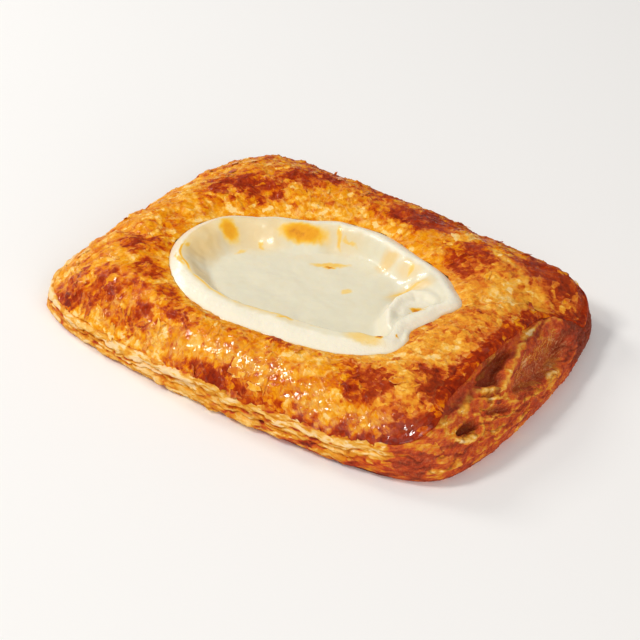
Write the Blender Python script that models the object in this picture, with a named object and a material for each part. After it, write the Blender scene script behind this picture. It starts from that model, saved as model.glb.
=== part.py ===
"""Cheese danish: a flat pillow of laminated pastry, an eye-shaped pool of baked cream cheese in its top.

Frame: origin at the centre of the base, +Z up, +X along the length towards the cut end that shows its
layers, +Y across towards the back edge. Both pieces are lofts through closed rings: the eye-shaped opening
and the rounded-rectangle edge are unlike sections that no primitive joins.
"""

import math

import bmesh
import bpy
import numpy as np

MM = 0.001

# ---- Plan of the pastry: four corners, bulging sides (mm) ----
CORNERS = {
    ("left", "front"): (-58.0, -36.2),
    ("right", "front"): (57.8, -36.8),
    ("right", "back"): (50.3, 41.0),
    ("left", "back"): (-51.2, 42.5),
}
CORNER_SQUARENESS = 10.0  # exponent of the superellipse: 2 is an ellipse, larger is squarer
SIDE_BULGE = {"front": 5.9, "right": 5.2, "back": 0.4, "left": 4.6}

# ---- Eye-shaped opening: half sizes and how blunt its two ends are (mm) ----
EYE_CENTRE = (-0.9, -5.2)
EYE_HALF = (35.4, 24.4)
EYE_LEFT_EXPONENT = 1.95
EYE_RIGHT_EXPONENT = 2.85
EYE_END_BLEND = 0.35  # how gradually one end's exponent turns into the other's
# How far the torn crust leaves the even curve round the eye, a fold pushing in deepest at its right end
EYE_WAVER = (
    (9, -1.8),
    (18, 1.1),
    (30, -0.9),
    (50, -1.5),
    (81, 0.6),
    (106, -0.2),
    (128, -2.4),
    (149, -1.8),
    (165, 0.4),
    (185, -0.2),
    (227, 0.2),
    (255, -0.3),
    (293, -1.6),
    (312, -1.9),
    (331, -1.2),
    (341, -0.4),
    (355, -3.6),
)

# ---- Heights and setbacks round the pastry: (direction in degrees from the eye's centre, mm) ----
TOP_EDGE_HEIGHT = (
    (0, 14.6),
    (35, 11.4),
    (90, 12.2),
    (140, 11.8),
    (180, 9.6),
    (213, 5.8),
    (270, 8.7),
    (325, 9.2),
    (340, 13.2),
)
EYE_EDGE_HEIGHT = ((0, 15.6), (90, 16.0), (180, 14.6), (270, 15.0))
CREST_RISE = ((0, 1.4), (90, 2.4), (140, 2.8), (180, 1.9), (270, 1.5), (325, 1.0))
TOP_EDGE_SETBACK = (
    (0, 9.6),
    (30, 9.6),
    (42, 3.4),
    (90, 2.2),
    (180, 3.0),
    (213, 2.0),
    (270, 0.6),
    (315, 1.6),
    (330, 4.6),
    (345, 9.8),
)
TOP_FALL_POWER = 2.4  # how late the domed top falls towards its edge

# ---- Side wall: puffed layers and the base (mm) ----
LAYERS = 4
LAYER_RELIEF = 0.7
BASE_UNDERCUT = 1.6
WIDEST_AT = 0.75  # share of the side's drop where the pastry is widest

# ---- Pockets between the layers of the cut end: (y, z, half width, half height, depth) in mm ----
POCKETS = (
    (5.0, 8.6, 12.5, 3.8, 2.4),
    (-8.0, 11.4, 5.0, 2.2, 1.8),
    (-22.0, 8.6, 5.4, 2.6, 2.2),
    (24.0, 5.6, 5.0, 2.4, 1.0),
)
CUT_END_X = 43.7  # the cut end's wall lies beyond this
CUT_END_BLEND = 4.0

# ---- Fold lines in the top crust: from, to, half width, depth (mm) ----
CREASES = (
    ((35.7, 8.5), (49.7, 34.0), 2.6, 1.5),
    ((-56.3, -11.0), (-40.3, -14.0), 1.8, 1.0),
)
CREASE_FREE_SHARE = 0.35  # share of the way out from the eye over which the fold lines fade in

# ---- Recess and filling (mm) ----
FILLING_GAP = 0.3
RECESS_FLOOR = 5.0
RECESS_FLOOR_SHARE = 0.84  # the recess narrows to this share of the eye at its floor
LIP_SETBACK = ((0, 3.6), (90, 2.8), (180, 4.2), (270, 6.0), (330, 5.0))
LIP_RISE = 1.4
POOL_LEVEL = 12.4
POOL_SLOPE_RUN = 5.0
SWIRL = (27.2, -2.5, 5.2, 1.8)  # x, y, radius and height of the mound the piping nozzle left

# ---- Mesh density ----
PASTRY_ROUND = 112
FILLING_ROUND = 72
TOP_RINGS = 10
RINGS_PER_LAYER = 3
LIP_RING_SHARES = (0.3, 0.65, 1.0)
SLOPE_RING_SHARES = (0.35, 0.65, 1.0)
POOL_RING_SHARES = (0.8, 0.55, 0.3, 0.08)
CUT_END_DENSITY = 1.8
OUTLINE_SAMPLES = 2880
SMOOTH_ANGLE_DEG = 50

PASTRY_COLOUR = (0.62, 0.27, 0.06, 1.0)
FILLING_COLOUR = (0.88, 0.84, 0.68, 1.0)


def round_profile(angles, knots):
    """Smooth periodic interpolation of knots (degrees, value) at angles in radians."""
    degrees = np.degrees(angles) % 360
    places, values = np.array(knots, float).T
    places = np.concatenate([places - 360, places, places + 360])
    values = np.tile(values, 3)
    before = np.searchsorted(places, degrees, side="right") - 1
    share = smooth((degrees - places[before]) / (places[before + 1] - places[before]))
    return values[before] + (values[before + 1] - values[before]) * share


def bell(distance, width):
    return np.exp(-((distance / width) ** 2))


def smooth(share):
    """Eases a share from 0 to 1, flat at both ends."""
    share = np.clip(share, 0, 1)
    return share * share * (3 - 2 * share)


def eye_radius(angles):
    """Distance from the eye's centre to its edge: pointed at the left, blunt at the right, and wavering."""
    cosine, sine = np.cos(angles), np.sin(angles)
    rightness = 0.5 + 0.5 * np.tanh(cosine / EYE_END_BLEND)
    power = EYE_LEFT_EXPONENT + (EYE_RIGHT_EXPONENT - EYE_LEFT_EXPONENT) * rightness
    radius = (np.abs(cosine / EYE_HALF[0]) ** power + np.abs(sine / EYE_HALF[1]) ** power) ** (-1 / power)
    return radius + round_profile(angles, EYE_WAVER)


def bulge(position, far_bulge, near_bulge):
    """How far the two opposite sides swell, for a position from -1 at the near side to 1 at the far one."""
    return far_bulge * np.clip(position, 0, 1) ** 3 - near_bulge * np.clip(-position, 0, 1) ** 3


def widest_outline():
    """The pastry's widest line in plan: points round a rounded rectangle stretched between its corners."""
    angles = np.linspace(-math.pi, math.pi, OUTLINE_SAMPLES, endpoint=False)
    cosine, sine = np.cos(angles), np.sin(angles)
    u = np.sign(cosine) * np.abs(cosine) ** (2 / CORNER_SQUARENESS)
    v = np.sign(sine) * np.abs(sine) ** (2 / CORNER_SQUARENESS)
    points = np.zeros((OUTLINE_SAMPLES, 2))
    for (side, end), corner in CORNERS.items():
        weight = (1 + u if side == "right" else 1 - u) * (1 + v if end == "back" else 1 - v) / 4
        points += weight[:, None] * np.array(corner)
    points[:, 0] += bulge(u, SIDE_BULGE["right"], SIDE_BULGE["left"]) * (1 - v * v)
    points[:, 1] += bulge(v, SIDE_BULGE["back"], SIDE_BULGE["front"]) * (1 - u * u)
    return points


def spokes(count):
    """Directions from the eye's centre and distances to the widest outline, closest at the cut end."""
    points = widest_outline()
    closed = np.vstack([points, points[:1]])
    lengths = np.linalg.norm(np.diff(closed, axis=0), axis=1)
    at_cut_end = (closed[1:, 0] > CUT_END_X) & (closed[:-1, 0] > CUT_END_X)
    lengths[at_cut_end] *= CUT_END_DENSITY
    travelled = np.concatenate([[0], np.cumsum(lengths)])
    wanted = np.linspace(0, travelled[-1], count, endpoint=False)
    chosen = np.column_stack([np.interp(wanted, travelled, closed[:, k]) for k in (0, 1)])
    from_centre = chosen - np.array(EYE_CENTRE)
    return np.arctan2(from_centre[:, 1], from_centre[:, 0]), np.linalg.norm(from_centre, axis=1)


def ring(angles, radius, height):
    """One closed ring of points at these distances from the eye's centre."""
    height = np.broadcast_to(height, angles.shape)
    x = EYE_CENTRE[0] + radius * np.cos(angles)
    y = EYE_CENTRE[1] + radius * np.sin(angles)
    return np.column_stack([x, y, height])


def pressed_in(points, share_out):
    """Sinks the fold lines into the top crust, at this share of the way out from the eye."""
    fade = smooth(share_out / CREASE_FREE_SHARE)
    for start, end, width, depth in CREASES:
        start, along = np.array(start), np.array(end) - np.array(start)
        share = np.clip((points[:, :2] - start) @ along / (along @ along), 0, 1)
        distance = np.linalg.norm(points[:, :2] - start - share[:, None] * along, axis=1)
        points[:, 2] -= depth * fade * bell(distance, width)
    return points


def pocket_depth(points):
    """How far the cut end's pockets reach in at these points."""
    depth = np.zeros(len(points))
    for y, z, half_width, half_height, deep in POCKETS:
        away = np.hypot((points[:, 1] - y) / half_width, (points[:, 2] - z) / half_height)
        depth = np.maximum(depth, deep * bell(away, 1))
    return depth * smooth((points[:, 0] - CUT_END_X) / CUT_END_BLEND)


def side_rings(angles, widest, edge_height, edge_radius):
    """Rings down the side: each puffed layer stands out between two grooves."""
    rings = []
    steps = RINGS_PER_LAYER * LAYERS
    for step in range(1, steps + 1):
        drop = step / steps
        swell = np.sin(np.minimum(drop / WIDEST_AT, 1) * math.pi / 2)
        tuck = BASE_UNDERCUT * max(0.0, (drop - WIDEST_AT) / (1 - WIDEST_AT)) ** 2
        in_groove = step % RINGS_PER_LAYER == 0 and step < steps
        radius = edge_radius + (widest - edge_radius) * swell - tuck - LAYER_RELIEF * in_groove
        height = edge_height * (1 - drop)
        radius = radius - pocket_depth(ring(angles, radius, height))
        rings.append(ring(angles, radius, height))
    return rings


def pastry_rings():
    """Rings of the pastry, from the recess floor up its wall, over the top and down the side to the base."""
    angles, widest = spokes(PASTRY_ROUND)
    eye = eye_radius(angles)
    eye_height = round_profile(angles, EYE_EDGE_HEIGHT)
    edge_height = round_profile(angles, TOP_EDGE_HEIGHT)
    edge_radius = widest - round_profile(angles, TOP_EDGE_SETBACK)
    crest = round_profile(angles, CREST_RISE)
    rings = [ring(angles, eye * RECESS_FLOOR_SHARE, RECESS_FLOOR)]
    for share in np.linspace(0, 1, TOP_RINGS):
        height = edge_height + (eye_height - edge_height) * (1 - share**TOP_FALL_POWER)
        height = height + crest * math.sin(math.pi * share)
        rings.append(pressed_in(ring(angles, eye + (edge_radius - eye) * share, height), share))
    return rings + side_rings(angles, widest, rings[-1][:, 2], edge_radius)


def filling_surface(angles, radius):
    """Height of the cream this far from the eye's centre: a raised lip, then a lower pool with a swirl."""
    inset = eye_radius(angles) - radius
    setback = round_profile(angles, LIP_SETBACK)
    crust = round_profile(angles, EYE_EDGE_HEIGHT)
    lip = crust + LIP_RISE * np.sin(np.minimum(inset / setback, 1) * math.pi / 2)
    sunk = smooth((inset - setback) / POOL_SLOPE_RUN)
    points = ring(angles, radius, lip + (POOL_LEVEL - lip) * sunk)
    x, y, swirl_radius, swirl_height = SWIRL
    points[:, 2] += sunk * swirl_height * bell(np.hypot(points[:, 0] - x, points[:, 1] - y), swirl_radius)
    return points


def filling_rings():
    """Rings of the cream, from its underside up the recess wall, over the lip and down into the pool."""
    angles = np.linspace(-math.pi, math.pi, FILLING_ROUND, endpoint=False)
    eye = eye_radius(angles)
    floor = ring(angles, eye * RECESS_FLOOR_SHARE - FILLING_GAP, RECESS_FLOOR + FILLING_GAP)
    setback = round_profile(angles, LIP_SETBACK)
    crest = eye - setback
    pool = crest - POOL_SLOPE_RUN
    radii = [eye - FILLING_GAP]
    radii += [eye - setback * share for share in LIP_RING_SHARES]
    radii += [crest - POOL_SLOPE_RUN * share for share in SLOPE_RING_SHARES]
    radii += [pool * share for share in POOL_RING_SHARES]
    return [floor] + [filling_surface(angles, radius) for radius in radii]


def material(name, colour, roughness):
    made = bpy.data.materials.new(name)
    made.use_nodes = True
    shader = made.node_tree.nodes["Principled BSDF"]
    shader.inputs["Base Color"].default_value = colour
    shader.inputs["Roughness"].default_value = roughness
    return made


def loft(name, rings, collection, finish):
    """One closed solid through the rings, with its two ends capped."""
    bm = bmesh.new()
    loops = [[bm.verts.new(point * MM) for point in points] for points in rings]
    for lower, upper in zip(loops, loops[1:]):
        for here in range(len(lower)):
            there = (here + 1) % len(lower)
            bm.faces.new((lower[here], lower[there], upper[there], upper[here]))
    bm.faces.new(loops[0])
    bm.faces.new(loops[-1])
    bmesh.ops.recalc_face_normals(bm, faces=bm.faces)
    mesh = bpy.data.meshes.new(name)
    bm.to_mesh(mesh)
    bm.free()
    mesh.shade_smooth()
    mesh.set_sharp_from_angle(angle=math.radians(SMOOTH_ANGLE_DEG))
    mesh.materials.append(finish)
    made = bpy.data.objects.new(name, mesh)
    collection.objects.link(made)
    return made


def main():
    for leftover in list(bpy.data.objects):
        bpy.data.objects.remove(leftover)
    danish = bpy.data.collections.new("cheese_danish")
    bpy.context.scene.collection.children.link(danish)
    loft("pastry", pastry_rings(), danish, material("baked_pastry", PASTRY_COLOUR, 0.4))
    loft("filling", filling_rings(), danish, material("baked_cream_cheese", FILLING_COLOUR, 0.35))


main()
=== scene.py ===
"""Looks of the cheese danish: a browned, flaking top skin over puffed layers, and baked cream in a pool.

Everything is worked out in millimetres in the part's own frame: origin at the centre of the base, +X along
the length towards the cut end, +Y towards the back edge, +Z up. Each surface is a grid of rings round the
eye-shaped opening, from the same plan, heights and setbacks as the part's solids, so every piece lies where
its solid does.

Fields such as browning run from 0 to 1 and are kept as point attributes, which the materials read.
"""

import itertools
import math
from types import SimpleNamespace

import bpy
import numpy as np
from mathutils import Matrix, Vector


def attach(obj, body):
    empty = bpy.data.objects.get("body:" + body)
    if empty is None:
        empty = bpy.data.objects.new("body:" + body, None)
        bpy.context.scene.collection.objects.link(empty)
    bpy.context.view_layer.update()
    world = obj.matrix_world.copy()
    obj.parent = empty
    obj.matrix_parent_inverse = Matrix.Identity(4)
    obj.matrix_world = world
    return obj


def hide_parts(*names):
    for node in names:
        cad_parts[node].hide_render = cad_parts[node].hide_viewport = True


MM = 0.001

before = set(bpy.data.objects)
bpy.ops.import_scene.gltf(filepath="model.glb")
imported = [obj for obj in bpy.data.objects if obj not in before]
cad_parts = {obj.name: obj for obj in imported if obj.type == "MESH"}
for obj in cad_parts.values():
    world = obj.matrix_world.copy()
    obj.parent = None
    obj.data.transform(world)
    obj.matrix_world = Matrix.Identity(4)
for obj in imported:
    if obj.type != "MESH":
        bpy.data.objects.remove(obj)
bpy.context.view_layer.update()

# -------- The part's form (mm and degrees), the same numbers as its solids --------

CORNERS = {
    ("left", "front"): (-58.0, -36.2),
    ("right", "front"): (57.8, -36.8),
    ("right", "back"): (50.3, 41.0),
    ("left", "back"): (-51.2, 42.5),
}
CORNER_SQUARENESS = 10.0  # exponent of the superellipse: 2 is an ellipse, larger is squarer
SIDE_BULGE = {"front": 5.9, "right": 5.2, "back": 0.4, "left": 4.6}
EYE_CENTRE = (-0.9, -5.2)
EYE_HALF = (35.4, 24.4)
EYE_LEFT_EXPONENT = 1.95
EYE_RIGHT_EXPONENT = 2.85
EYE_END_BLEND = 0.35  # how gradually one end's exponent turns into the other's
# Profiles going round the eye: direction in degrees, value in mm
EYE_WAVER = (
    (9, -1.8), (18, 1.1), (30, -0.9), (50, -1.5), (81, 0.6), (106, -0.2), (128, -2.4), (149, -1.8),
    (165, 0.4), (185, -0.2), (227, 0.2), (255, -0.3), (293, -1.6), (312, -1.9), (331, -1.2),
    (341, -0.4), (355, -3.6),
)
TOP_EDGE_HEIGHT = (
    (0, 14.6), (35, 11.4), (90, 12.2), (140, 11.8), (180, 9.6), (213, 5.8), (270, 8.7), (325, 9.2),
    (340, 13.2),
)
EYE_EDGE_HEIGHT = ((0, 15.6), (90, 16.0), (180, 14.6), (270, 15.0))
CREST_RISE = ((0, 1.4), (90, 2.4), (140, 2.8), (180, 1.9), (270, 1.5), (325, 1.0))
TOP_EDGE_SETBACK = (
    (0, 9.6), (30, 9.6), (42, 3.4), (90, 2.2), (180, 3.0), (213, 2.0), (270, 0.6), (315, 1.6),
    (330, 4.6), (345, 9.8),
)
TOP_FALL_POWER = 2.4  # how late the domed top falls towards its edge
BASE_UNDERCUT = 1.6
WIDEST_AT = 0.75  # share of the side's drop where the pastry is widest
CUT_END_X = 43.7
CUT_END_BLEND = 4.0
# Fold lines in the top: from, to, width, depth
CREASES = (
    ((35.7, 8.5), (49.7, 34.0), 2.6, 1.5),
    ((-56.3, -11.0), (-40.3, -14.0), 1.8, 1.0),
)
CREASE_FREE_SHARE = 0.35  # share of the way out from the eye over which the fold lines fade in
RECESS_FLOOR = 5.0
RECESS_FLOOR_SHARE = 0.84
LIP_RISE = 1.4
POOL_LEVEL = 12.4

# -------- How fine the meshes are --------

OUTLINE_SAMPLES = 5760
ROUND = 960  # spokes of the skin and of the layers under it
CREAM_ROUND = 480
SKIN_TOP_RINGS = 84
SKIN_ROLL_RINGS = 9
LAYER_SIDE_RINGS = 94
CUT_END_DENSITY = 1.25  # how much closer the spokes lie at the cut end


# -------- Small helpers --------


def smooth(share):
    """Eases a share from 0 to 1, flat at both ends."""
    share = np.clip(share, 0, 1)
    return share * share * (3 - 2 * share)


def bell(distance, width):
    """1 at no distance, falling smoothly to almost 0 two widths away."""
    return np.exp(-((distance / width) ** 2))


def mix(low, high, share):
    """From low at share 0 to high at share 1."""
    return low + (high - low) * share


def round_profile(angles, knots):
    """Smooth periodic interpolation of knots (degrees, value) at angles in radians."""
    degrees = np.degrees(angles) % 360
    places, values = np.array(knots, float).T
    places = np.concatenate([places - 360, places, places + 360])
    values = np.tile(values, 3)
    before = np.searchsorted(places, degrees, side="right") - 1
    share = smooth((degrees - places[before]) / (places[before + 1] - places[before]))
    return values[before] + (values[before + 1] - values[before]) * share


def linear(red, green, blue):
    """A display colour of 0 to 255 a channel, as the linear RGBA that shaders take."""
    channels = [value / 255 for value in (red, green, blue)]
    channels = [c / 12.92 if c <= 0.04045 else ((c + 0.055) / 1.055) ** 2.4 for c in channels]
    return (*channels, 1.0)


class Perlin:
    """Smooth noise in space, about -1 to 1, the same on each run for the same seed."""

    def __init__(self, seed):
        chance = np.random.default_rng(seed)
        self.order = np.tile(chance.permutation(256), 3)
        slopes = chance.normal(size=(256, 3))
        self.slopes = slopes / np.linalg.norm(slopes, axis=1)[:, None]

    def __call__(self, points):
        cell = np.floor(points).astype(int)
        inside = points - cell
        ease = inside**3 * (inside * (inside * 6 - 15) + 10)
        total = np.zeros(len(points))
        for corner in itertools.product((0, 1), repeat=3):
            at = (cell + corner) & 255
            index = self.order[self.order[self.order[at[:, 0]] + at[:, 1]] + at[:, 2]]
            weight = np.prod(np.where(corner, ease, 1 - ease), axis=1)
            total += weight * np.einsum("ij,ij->i", self.slopes[index], inside - corner)
        return total * 1.7

    def layered(self, points, octaves, gain):
        """The noise with finer and weaker copies of itself on top."""
        total = np.zeros(len(points))
        for octave in range(octaves):
            total += gain**octave * self(points * 2**octave + 31.7 * octave)
        return total


def noise(places, kind):
    """Layered noise at these places. A kind is seed, grain size in mm, octaves, gain."""
    seed, size, octaves, gain = kind
    flat = (places / np.array(size)).reshape(-1, 3)
    return Perlin(seed).layered(flat, octaves, gain).reshape(places.shape[:-1])


def wobble(places, kinds):
    """Two kinds of noise at each place, to push it about in the plane."""
    return np.stack([noise(places, kind) for kind in kinds], axis=-1)


def nearness(places, spot):
    """From 1 at a spot's middle to 0 well away from it. A spot is x, y, reach in mm."""
    x, y, reach = spot
    return bell(np.hypot(places[..., 0] - x, places[..., 1] - y), reach)


def cut_end_share(places):
    """From 0 over most of the pastry to 1 at its cut end."""
    return smooth((places[..., 0] - CUT_END_X) / CUT_END_BLEND)


def cell_areas(grid):
    """How much surface belongs to each point of a grid of rings."""
    return np.linalg.norm(np.cross(np.gradient(grid, axis=0), np.gradient(grid, axis=1)), axis=-1)


def distance_to_path(places, path):
    """Distance of each place from the nearest point of a path of straight pieces."""
    nearest = np.full(places.shape[:-1], np.inf)
    for start, end in itertools.pairwise(np.array(path)):
        run = end - start
        part = np.clip((places - start) @ run / (run @ run), 0, 1)
        nearest = np.minimum(nearest, np.linalg.norm(places - start - part[..., None] * run, axis=-1))
    return nearest


# -------- The plain form --------


EYE_TORN = 0.38  # how far the small tears of the crust's inner edge reach, mm
EYE_TEARS = (3, 3.4, 3, 0.6)


def eye_radius(angles):
    """Distance from the eye's centre to the inner edge of the crust, without its small tears."""
    cosine, sine = np.cos(angles), np.sin(angles)
    rightness = 0.5 + 0.5 * np.tanh(cosine / EYE_END_BLEND)
    power = EYE_LEFT_EXPONENT + (EYE_RIGHT_EXPONENT - EYE_LEFT_EXPONENT) * rightness
    reach = np.abs(cosine / EYE_HALF[0]) ** power + np.abs(sine / EYE_HALF[1]) ** power
    return reach ** (-1 / power) + round_profile(angles, EYE_WAVER)


def torn_eye_radius(angles):
    """The same with its small tears."""
    radius = eye_radius(angles)
    edge = np.column_stack([radius * np.cos(angles), radius * np.sin(angles), np.zeros(len(angles))])
    return radius + EYE_TORN * noise(edge, EYE_TEARS)


def bulge(position, far_bulge, near_bulge):
    """How far two opposite sides swell, from position -1 at the near side to 1 at the far one."""
    return far_bulge * np.clip(position, 0, 1) ** 3 - near_bulge * np.clip(-position, 0, 1) ** 3


def widest_outline():
    """The widest line in plan: many points of a rounded rectangle stretched between the corners."""
    angles = np.linspace(-math.pi, math.pi, OUTLINE_SAMPLES, endpoint=False)
    cosine, sine = np.cos(angles), np.sin(angles)
    u = np.sign(cosine) * np.abs(cosine) ** (2 / CORNER_SQUARENESS)
    v = np.sign(sine) * np.abs(sine) ** (2 / CORNER_SQUARENESS)
    points = np.zeros((OUTLINE_SAMPLES, 2))
    for (side, end), corner in CORNERS.items():
        weight = (1 + u if side == "right" else 1 - u) * (1 + v if end == "back" else 1 - v) / 4
        points += weight[:, None] * np.array(corner)
    points[:, 0] += bulge(u, SIDE_BULGE["right"], SIDE_BULGE["left"]) * (1 - v * v)
    points[:, 1] += bulge(v, SIDE_BULGE["back"], SIDE_BULGE["front"]) * (1 - u * u)
    return points


def plan(count):
    """All that depends only on the direction from the eye's centre, for spokes spread along the outline."""
    points = widest_outline()
    closed = np.vstack([points, points[:1]])
    lengths = np.linalg.norm(np.diff(closed, axis=0), axis=1)
    lengths[closed[1:, 0] > CUT_END_X] *= CUT_END_DENSITY
    travelled = np.concatenate([[0], np.cumsum(lengths)])
    wanted = np.linspace(0, travelled[-1], count, endpoint=False)
    chosen = np.column_stack([np.interp(wanted, travelled, closed[:, k]) for k in (0, 1)])
    away = chosen - np.array(EYE_CENTRE)
    angles = np.arctan2(away[:, 1], away[:, 0])
    widest = np.linalg.norm(away, axis=1)
    return SimpleNamespace(
        angle=angles,
        widest=widest,
        eye=torn_eye_radius(angles),
        eye_height=round_profile(angles, EYE_EDGE_HEIGHT),
        edge_height=round_profile(angles, TOP_EDGE_HEIGHT),
        edge=widest - round_profile(angles, TOP_EDGE_SETBACK),
        crest=round_profile(angles, CREST_RISE),
    )


def placed(way, radius, height):
    """Points at these distances from the eye's centre and heights, as a grid of rings."""
    x = EYE_CENTRE[0] + radius * np.cos(way.angle)
    y = EYE_CENTRE[1] + radius * np.sin(way.angle)
    return np.stack([x, y, np.broadcast_to(height, x.shape)], axis=-1)


def plain_form(way, along):
    """The plain surface: along is 0 at the eye's edge, 1 at the top's outer edge and 2 at the base."""
    share = np.clip(along, 0, 1)
    drop = np.clip(along - 1, 0, 1)
    height = way.edge_height + (way.eye_height - way.edge_height) * (1 - share**TOP_FALL_POWER)
    height = height + way.crest * np.sin(np.pi * share)
    top_radius = way.eye + (way.edge - way.eye) * share
    flat = placed(way, top_radius, height)
    fade = smooth(share / CREASE_FREE_SHARE)
    for start, end, width, depth in CREASES:
        distance = distance_to_path(flat[..., :2], (start, end))
        height = height - depth * fade * bell(distance, width)
    swell = np.sin(np.minimum(drop / WIDEST_AT, 1) * np.pi / 2)
    tuck = BASE_UNDERCUT * np.clip((drop - WIDEST_AT) / (1 - WIDEST_AT), 0, 1) ** 2
    radius = top_radius + (way.widest - way.edge) * swell - tuck
    return placed(way, radius, height * (1 - drop))


def directions(grid):
    """Unit vectors of a grid of rings: down its spokes, and out of its surface."""
    down = np.gradient(grid, axis=0)
    round_ = (np.roll(grid, -1, axis=1) - np.roll(grid, 1, axis=1)) / 2
    out = np.cross(down, round_)
    out /= np.maximum(np.linalg.norm(out, axis=-1, keepdims=True), 1e-9)
    down = down / np.maximum(np.linalg.norm(down, axis=-1, keepdims=True), 1e-9)
    return down, out


def flattened(way, grid):
    """The surface laid flat round the eye's centre, so that patterns keep their size on its slopes."""
    steps = np.linalg.norm(np.diff(grid, axis=0), axis=-1)
    distance = np.vstack([np.zeros(grid.shape[1]), np.cumsum(steps, axis=0)])
    radius = np.hypot(grid[0, :, 0] - EYE_CENTRE[0], grid[0, :, 1] - EYE_CENTRE[1]) + distance
    return np.stack([radius * np.cos(way.angle), radius * np.sin(way.angle)], axis=-1)


# -------- Meshes --------


def stand(name, data):
    """A new object in the scene."""
    made = bpy.data.objects.new(name, data)
    bpy.context.scene.collection.objects.link(made)
    return made


def grid_faces(rings, around, closed):
    """Quads of a grid of rings; a closed grid also joins its last ring to its first."""
    ring = np.arange(rings if closed else rings - 1)[:, None]
    here = np.arange(around)[None, :]
    after, there = (ring + 1) % rings, (here + 1) % around
    corners = [(ring, here), (after, here), (after, there), (ring, there)]
    corners = [row * around + column for row, column in corners]
    return np.stack(np.broadcast_arrays(*corners), axis=-1).reshape(-1, 4)


def cap_faces(rings, around):
    """The faces that shut the first and last rings of an open grid."""
    count = rings * around
    return [list(range(around)), list(range(count - 1, count - around - 1, -1))]


def make_piece(name, grid, faces, fields, flat, material):
    """A smooth mesh with its fields as point attributes and a flat map, given for each face corner."""
    mesh = bpy.data.meshes.new(name)
    mesh.from_pydata((grid.reshape(-1, 3) * MM).tolist(), [], faces)
    mesh.shade_smooth()
    for field, values in fields.items():
        values = np.broadcast_to(values, grid.shape[:-1])
        made = mesh.attributes.new(field, "FLOAT", "POINT")
        made.data.foreach_set("value", values.astype(np.float32).ravel())
    layer = mesh.uv_layers.new(name="OFBake")
    layer.data.foreach_set("uv", flat.astype(np.float32).ravel())
    mesh.materials.append(material)
    return stand(name, mesh)


def grid_piece(name, grid, fields, flat, material, closed=False):
    """A closed piece through one grid of rings. flat gives the flat map of such a grid's faces."""
    rings, around = grid.shape[:2]
    faces = grid_faces(rings, around, closed).tolist()
    if not closed:
        faces += cap_faces(rings, around)
    piece = make_piece(name, grid, faces, fields, flat(rings, around, closed), material)
    piece.data.validate()
    return piece


def disc_map(places):
    """A flat map for a grid whose points are laid out in the plane, fitted into the unit square."""

    def flat(rings, around, closed):
        span = np.abs(places).max() * 2.02
        points = places.reshape(-1, 2) / span + 0.5
        corners = points[grid_faces(rings, around, closed)].reshape(-1, 2)
        if closed:
            return corners
        caps = np.vstack([places[0], places[-1][::-1]]) / span + 0.5
        return np.vstack([corners, caps])

    return flat


# -------- Browning and flakes of the top skin --------

# Deeply browned places of the skin: x, y, half length, half width (mm), turn in degrees, strength
DARK_ZONES = (
    (-41.0, -33.0, 12.0, 4.6, 11, 0.30), (-25.0, -36.6, 8.3, 2.3, 8, 0.24),
    (-40.5, -15.9, 4.7, 4.5, 31, 0.34), (-32.0, -24.0, 4.6, 3.4, -30, 0.34),
    (-22.0, -28.5, 4.2, 2.2, -25, 0.30), (-12.4, -34.4, 6.8, 1.5, -11, 0.24),
    (5.0, -41.2, 11.0, 1.3, 1, 0.40), (24.0, -40.6, 9.0, 1.0, 2, 0.26),
    (42.0, -38.0, 12.0, 1.8, 17, 0.40), (-27.1, 15.9, 3.5, 1.9, 23, 0.26),
    (-36.0, 16.5, 11.0, 6.4, 25, 0.34), (-25.0, 28.5, 7.4, 5.4, 13, 0.30),
    (-8.1, 32.5, 2.8, 4.9, 46, 0.28), (5.9, 28.6, 9.4, 4.8, 18, 0.34),
    (25.5, 22.0, 6.4, 7.0, 11, 0.34), (41.5, 31.0, 9.0, 6.0, -11, 0.36),
    (32.0, -4.0, 2.5, 2.9, 21, 0.26), (34.9, -28.4, 5.7, 4.3, 33, 0.36),
    (45.5, -21.6, 4.1, 5.1, 14, 0.30), (47.6, -33.2, 4.5, 2.2, 18, 0.26),
    (12.0, -29.0, 5.0, 2.0, 8, 0.22),
)
# Paler places, in the same terms
PALE_ZONES = (
    (-40.3, -24.0, 4.3, 2.2, -3, 0.22), (-38.3, 3.3, 6.3, 3.1, 38, 0.20),
    (-27.2, 12.5, 3.8, 1.7, 20, 0.22), (-13.3, 19.1, 4.1, 1.4, 10, 0.24),
    (39.0, -14.8, 5.1, 1.7, 52, 0.20), (37.9, 13.7, 7.5, 5.2, 68, 0.20),
    (34.2, -36.1, 3.6, 1.1, 15, 0.22), (-42.3, -38.6, 4.4, 1.7, -12, 0.22),
    (4.7, -37.5, 3.9, 1.3, 0, 0.20), (18.6, -31.0, 6.3, 2.2, 11, 0.12),
    (28.0, -21.9, 5.0, 2.5, 11, 0.14), (-27.3, 14.5, 4.4, 0.7, -50, 0.30),
    (-20.1, 17.2, 3.7, 0.7, -32, 0.30),
)
# Where the skin is glossy and finely crinkled, so that it glints
GLOSSY_ZONES = (
    (-14.6, -39.0, 10.0, 3.0, 0, 0.7), (8.0, -36.8, 12.0, 2.8, 4, 1.0),
    (25.0, -38.0, 8.0, 2.4, -3, 1.0), (43.0, -35.4, 11.0, 2.6, 18, 1.0),
    (-50.0, -32.0, 4.5, 3.6, 20, 0.6), (-36.0, -36.5, 7.0, 2.0, 8, 0.4),
    (20.0, 30.0, 24.0, 5.0, 0, 0.35),
)
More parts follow.
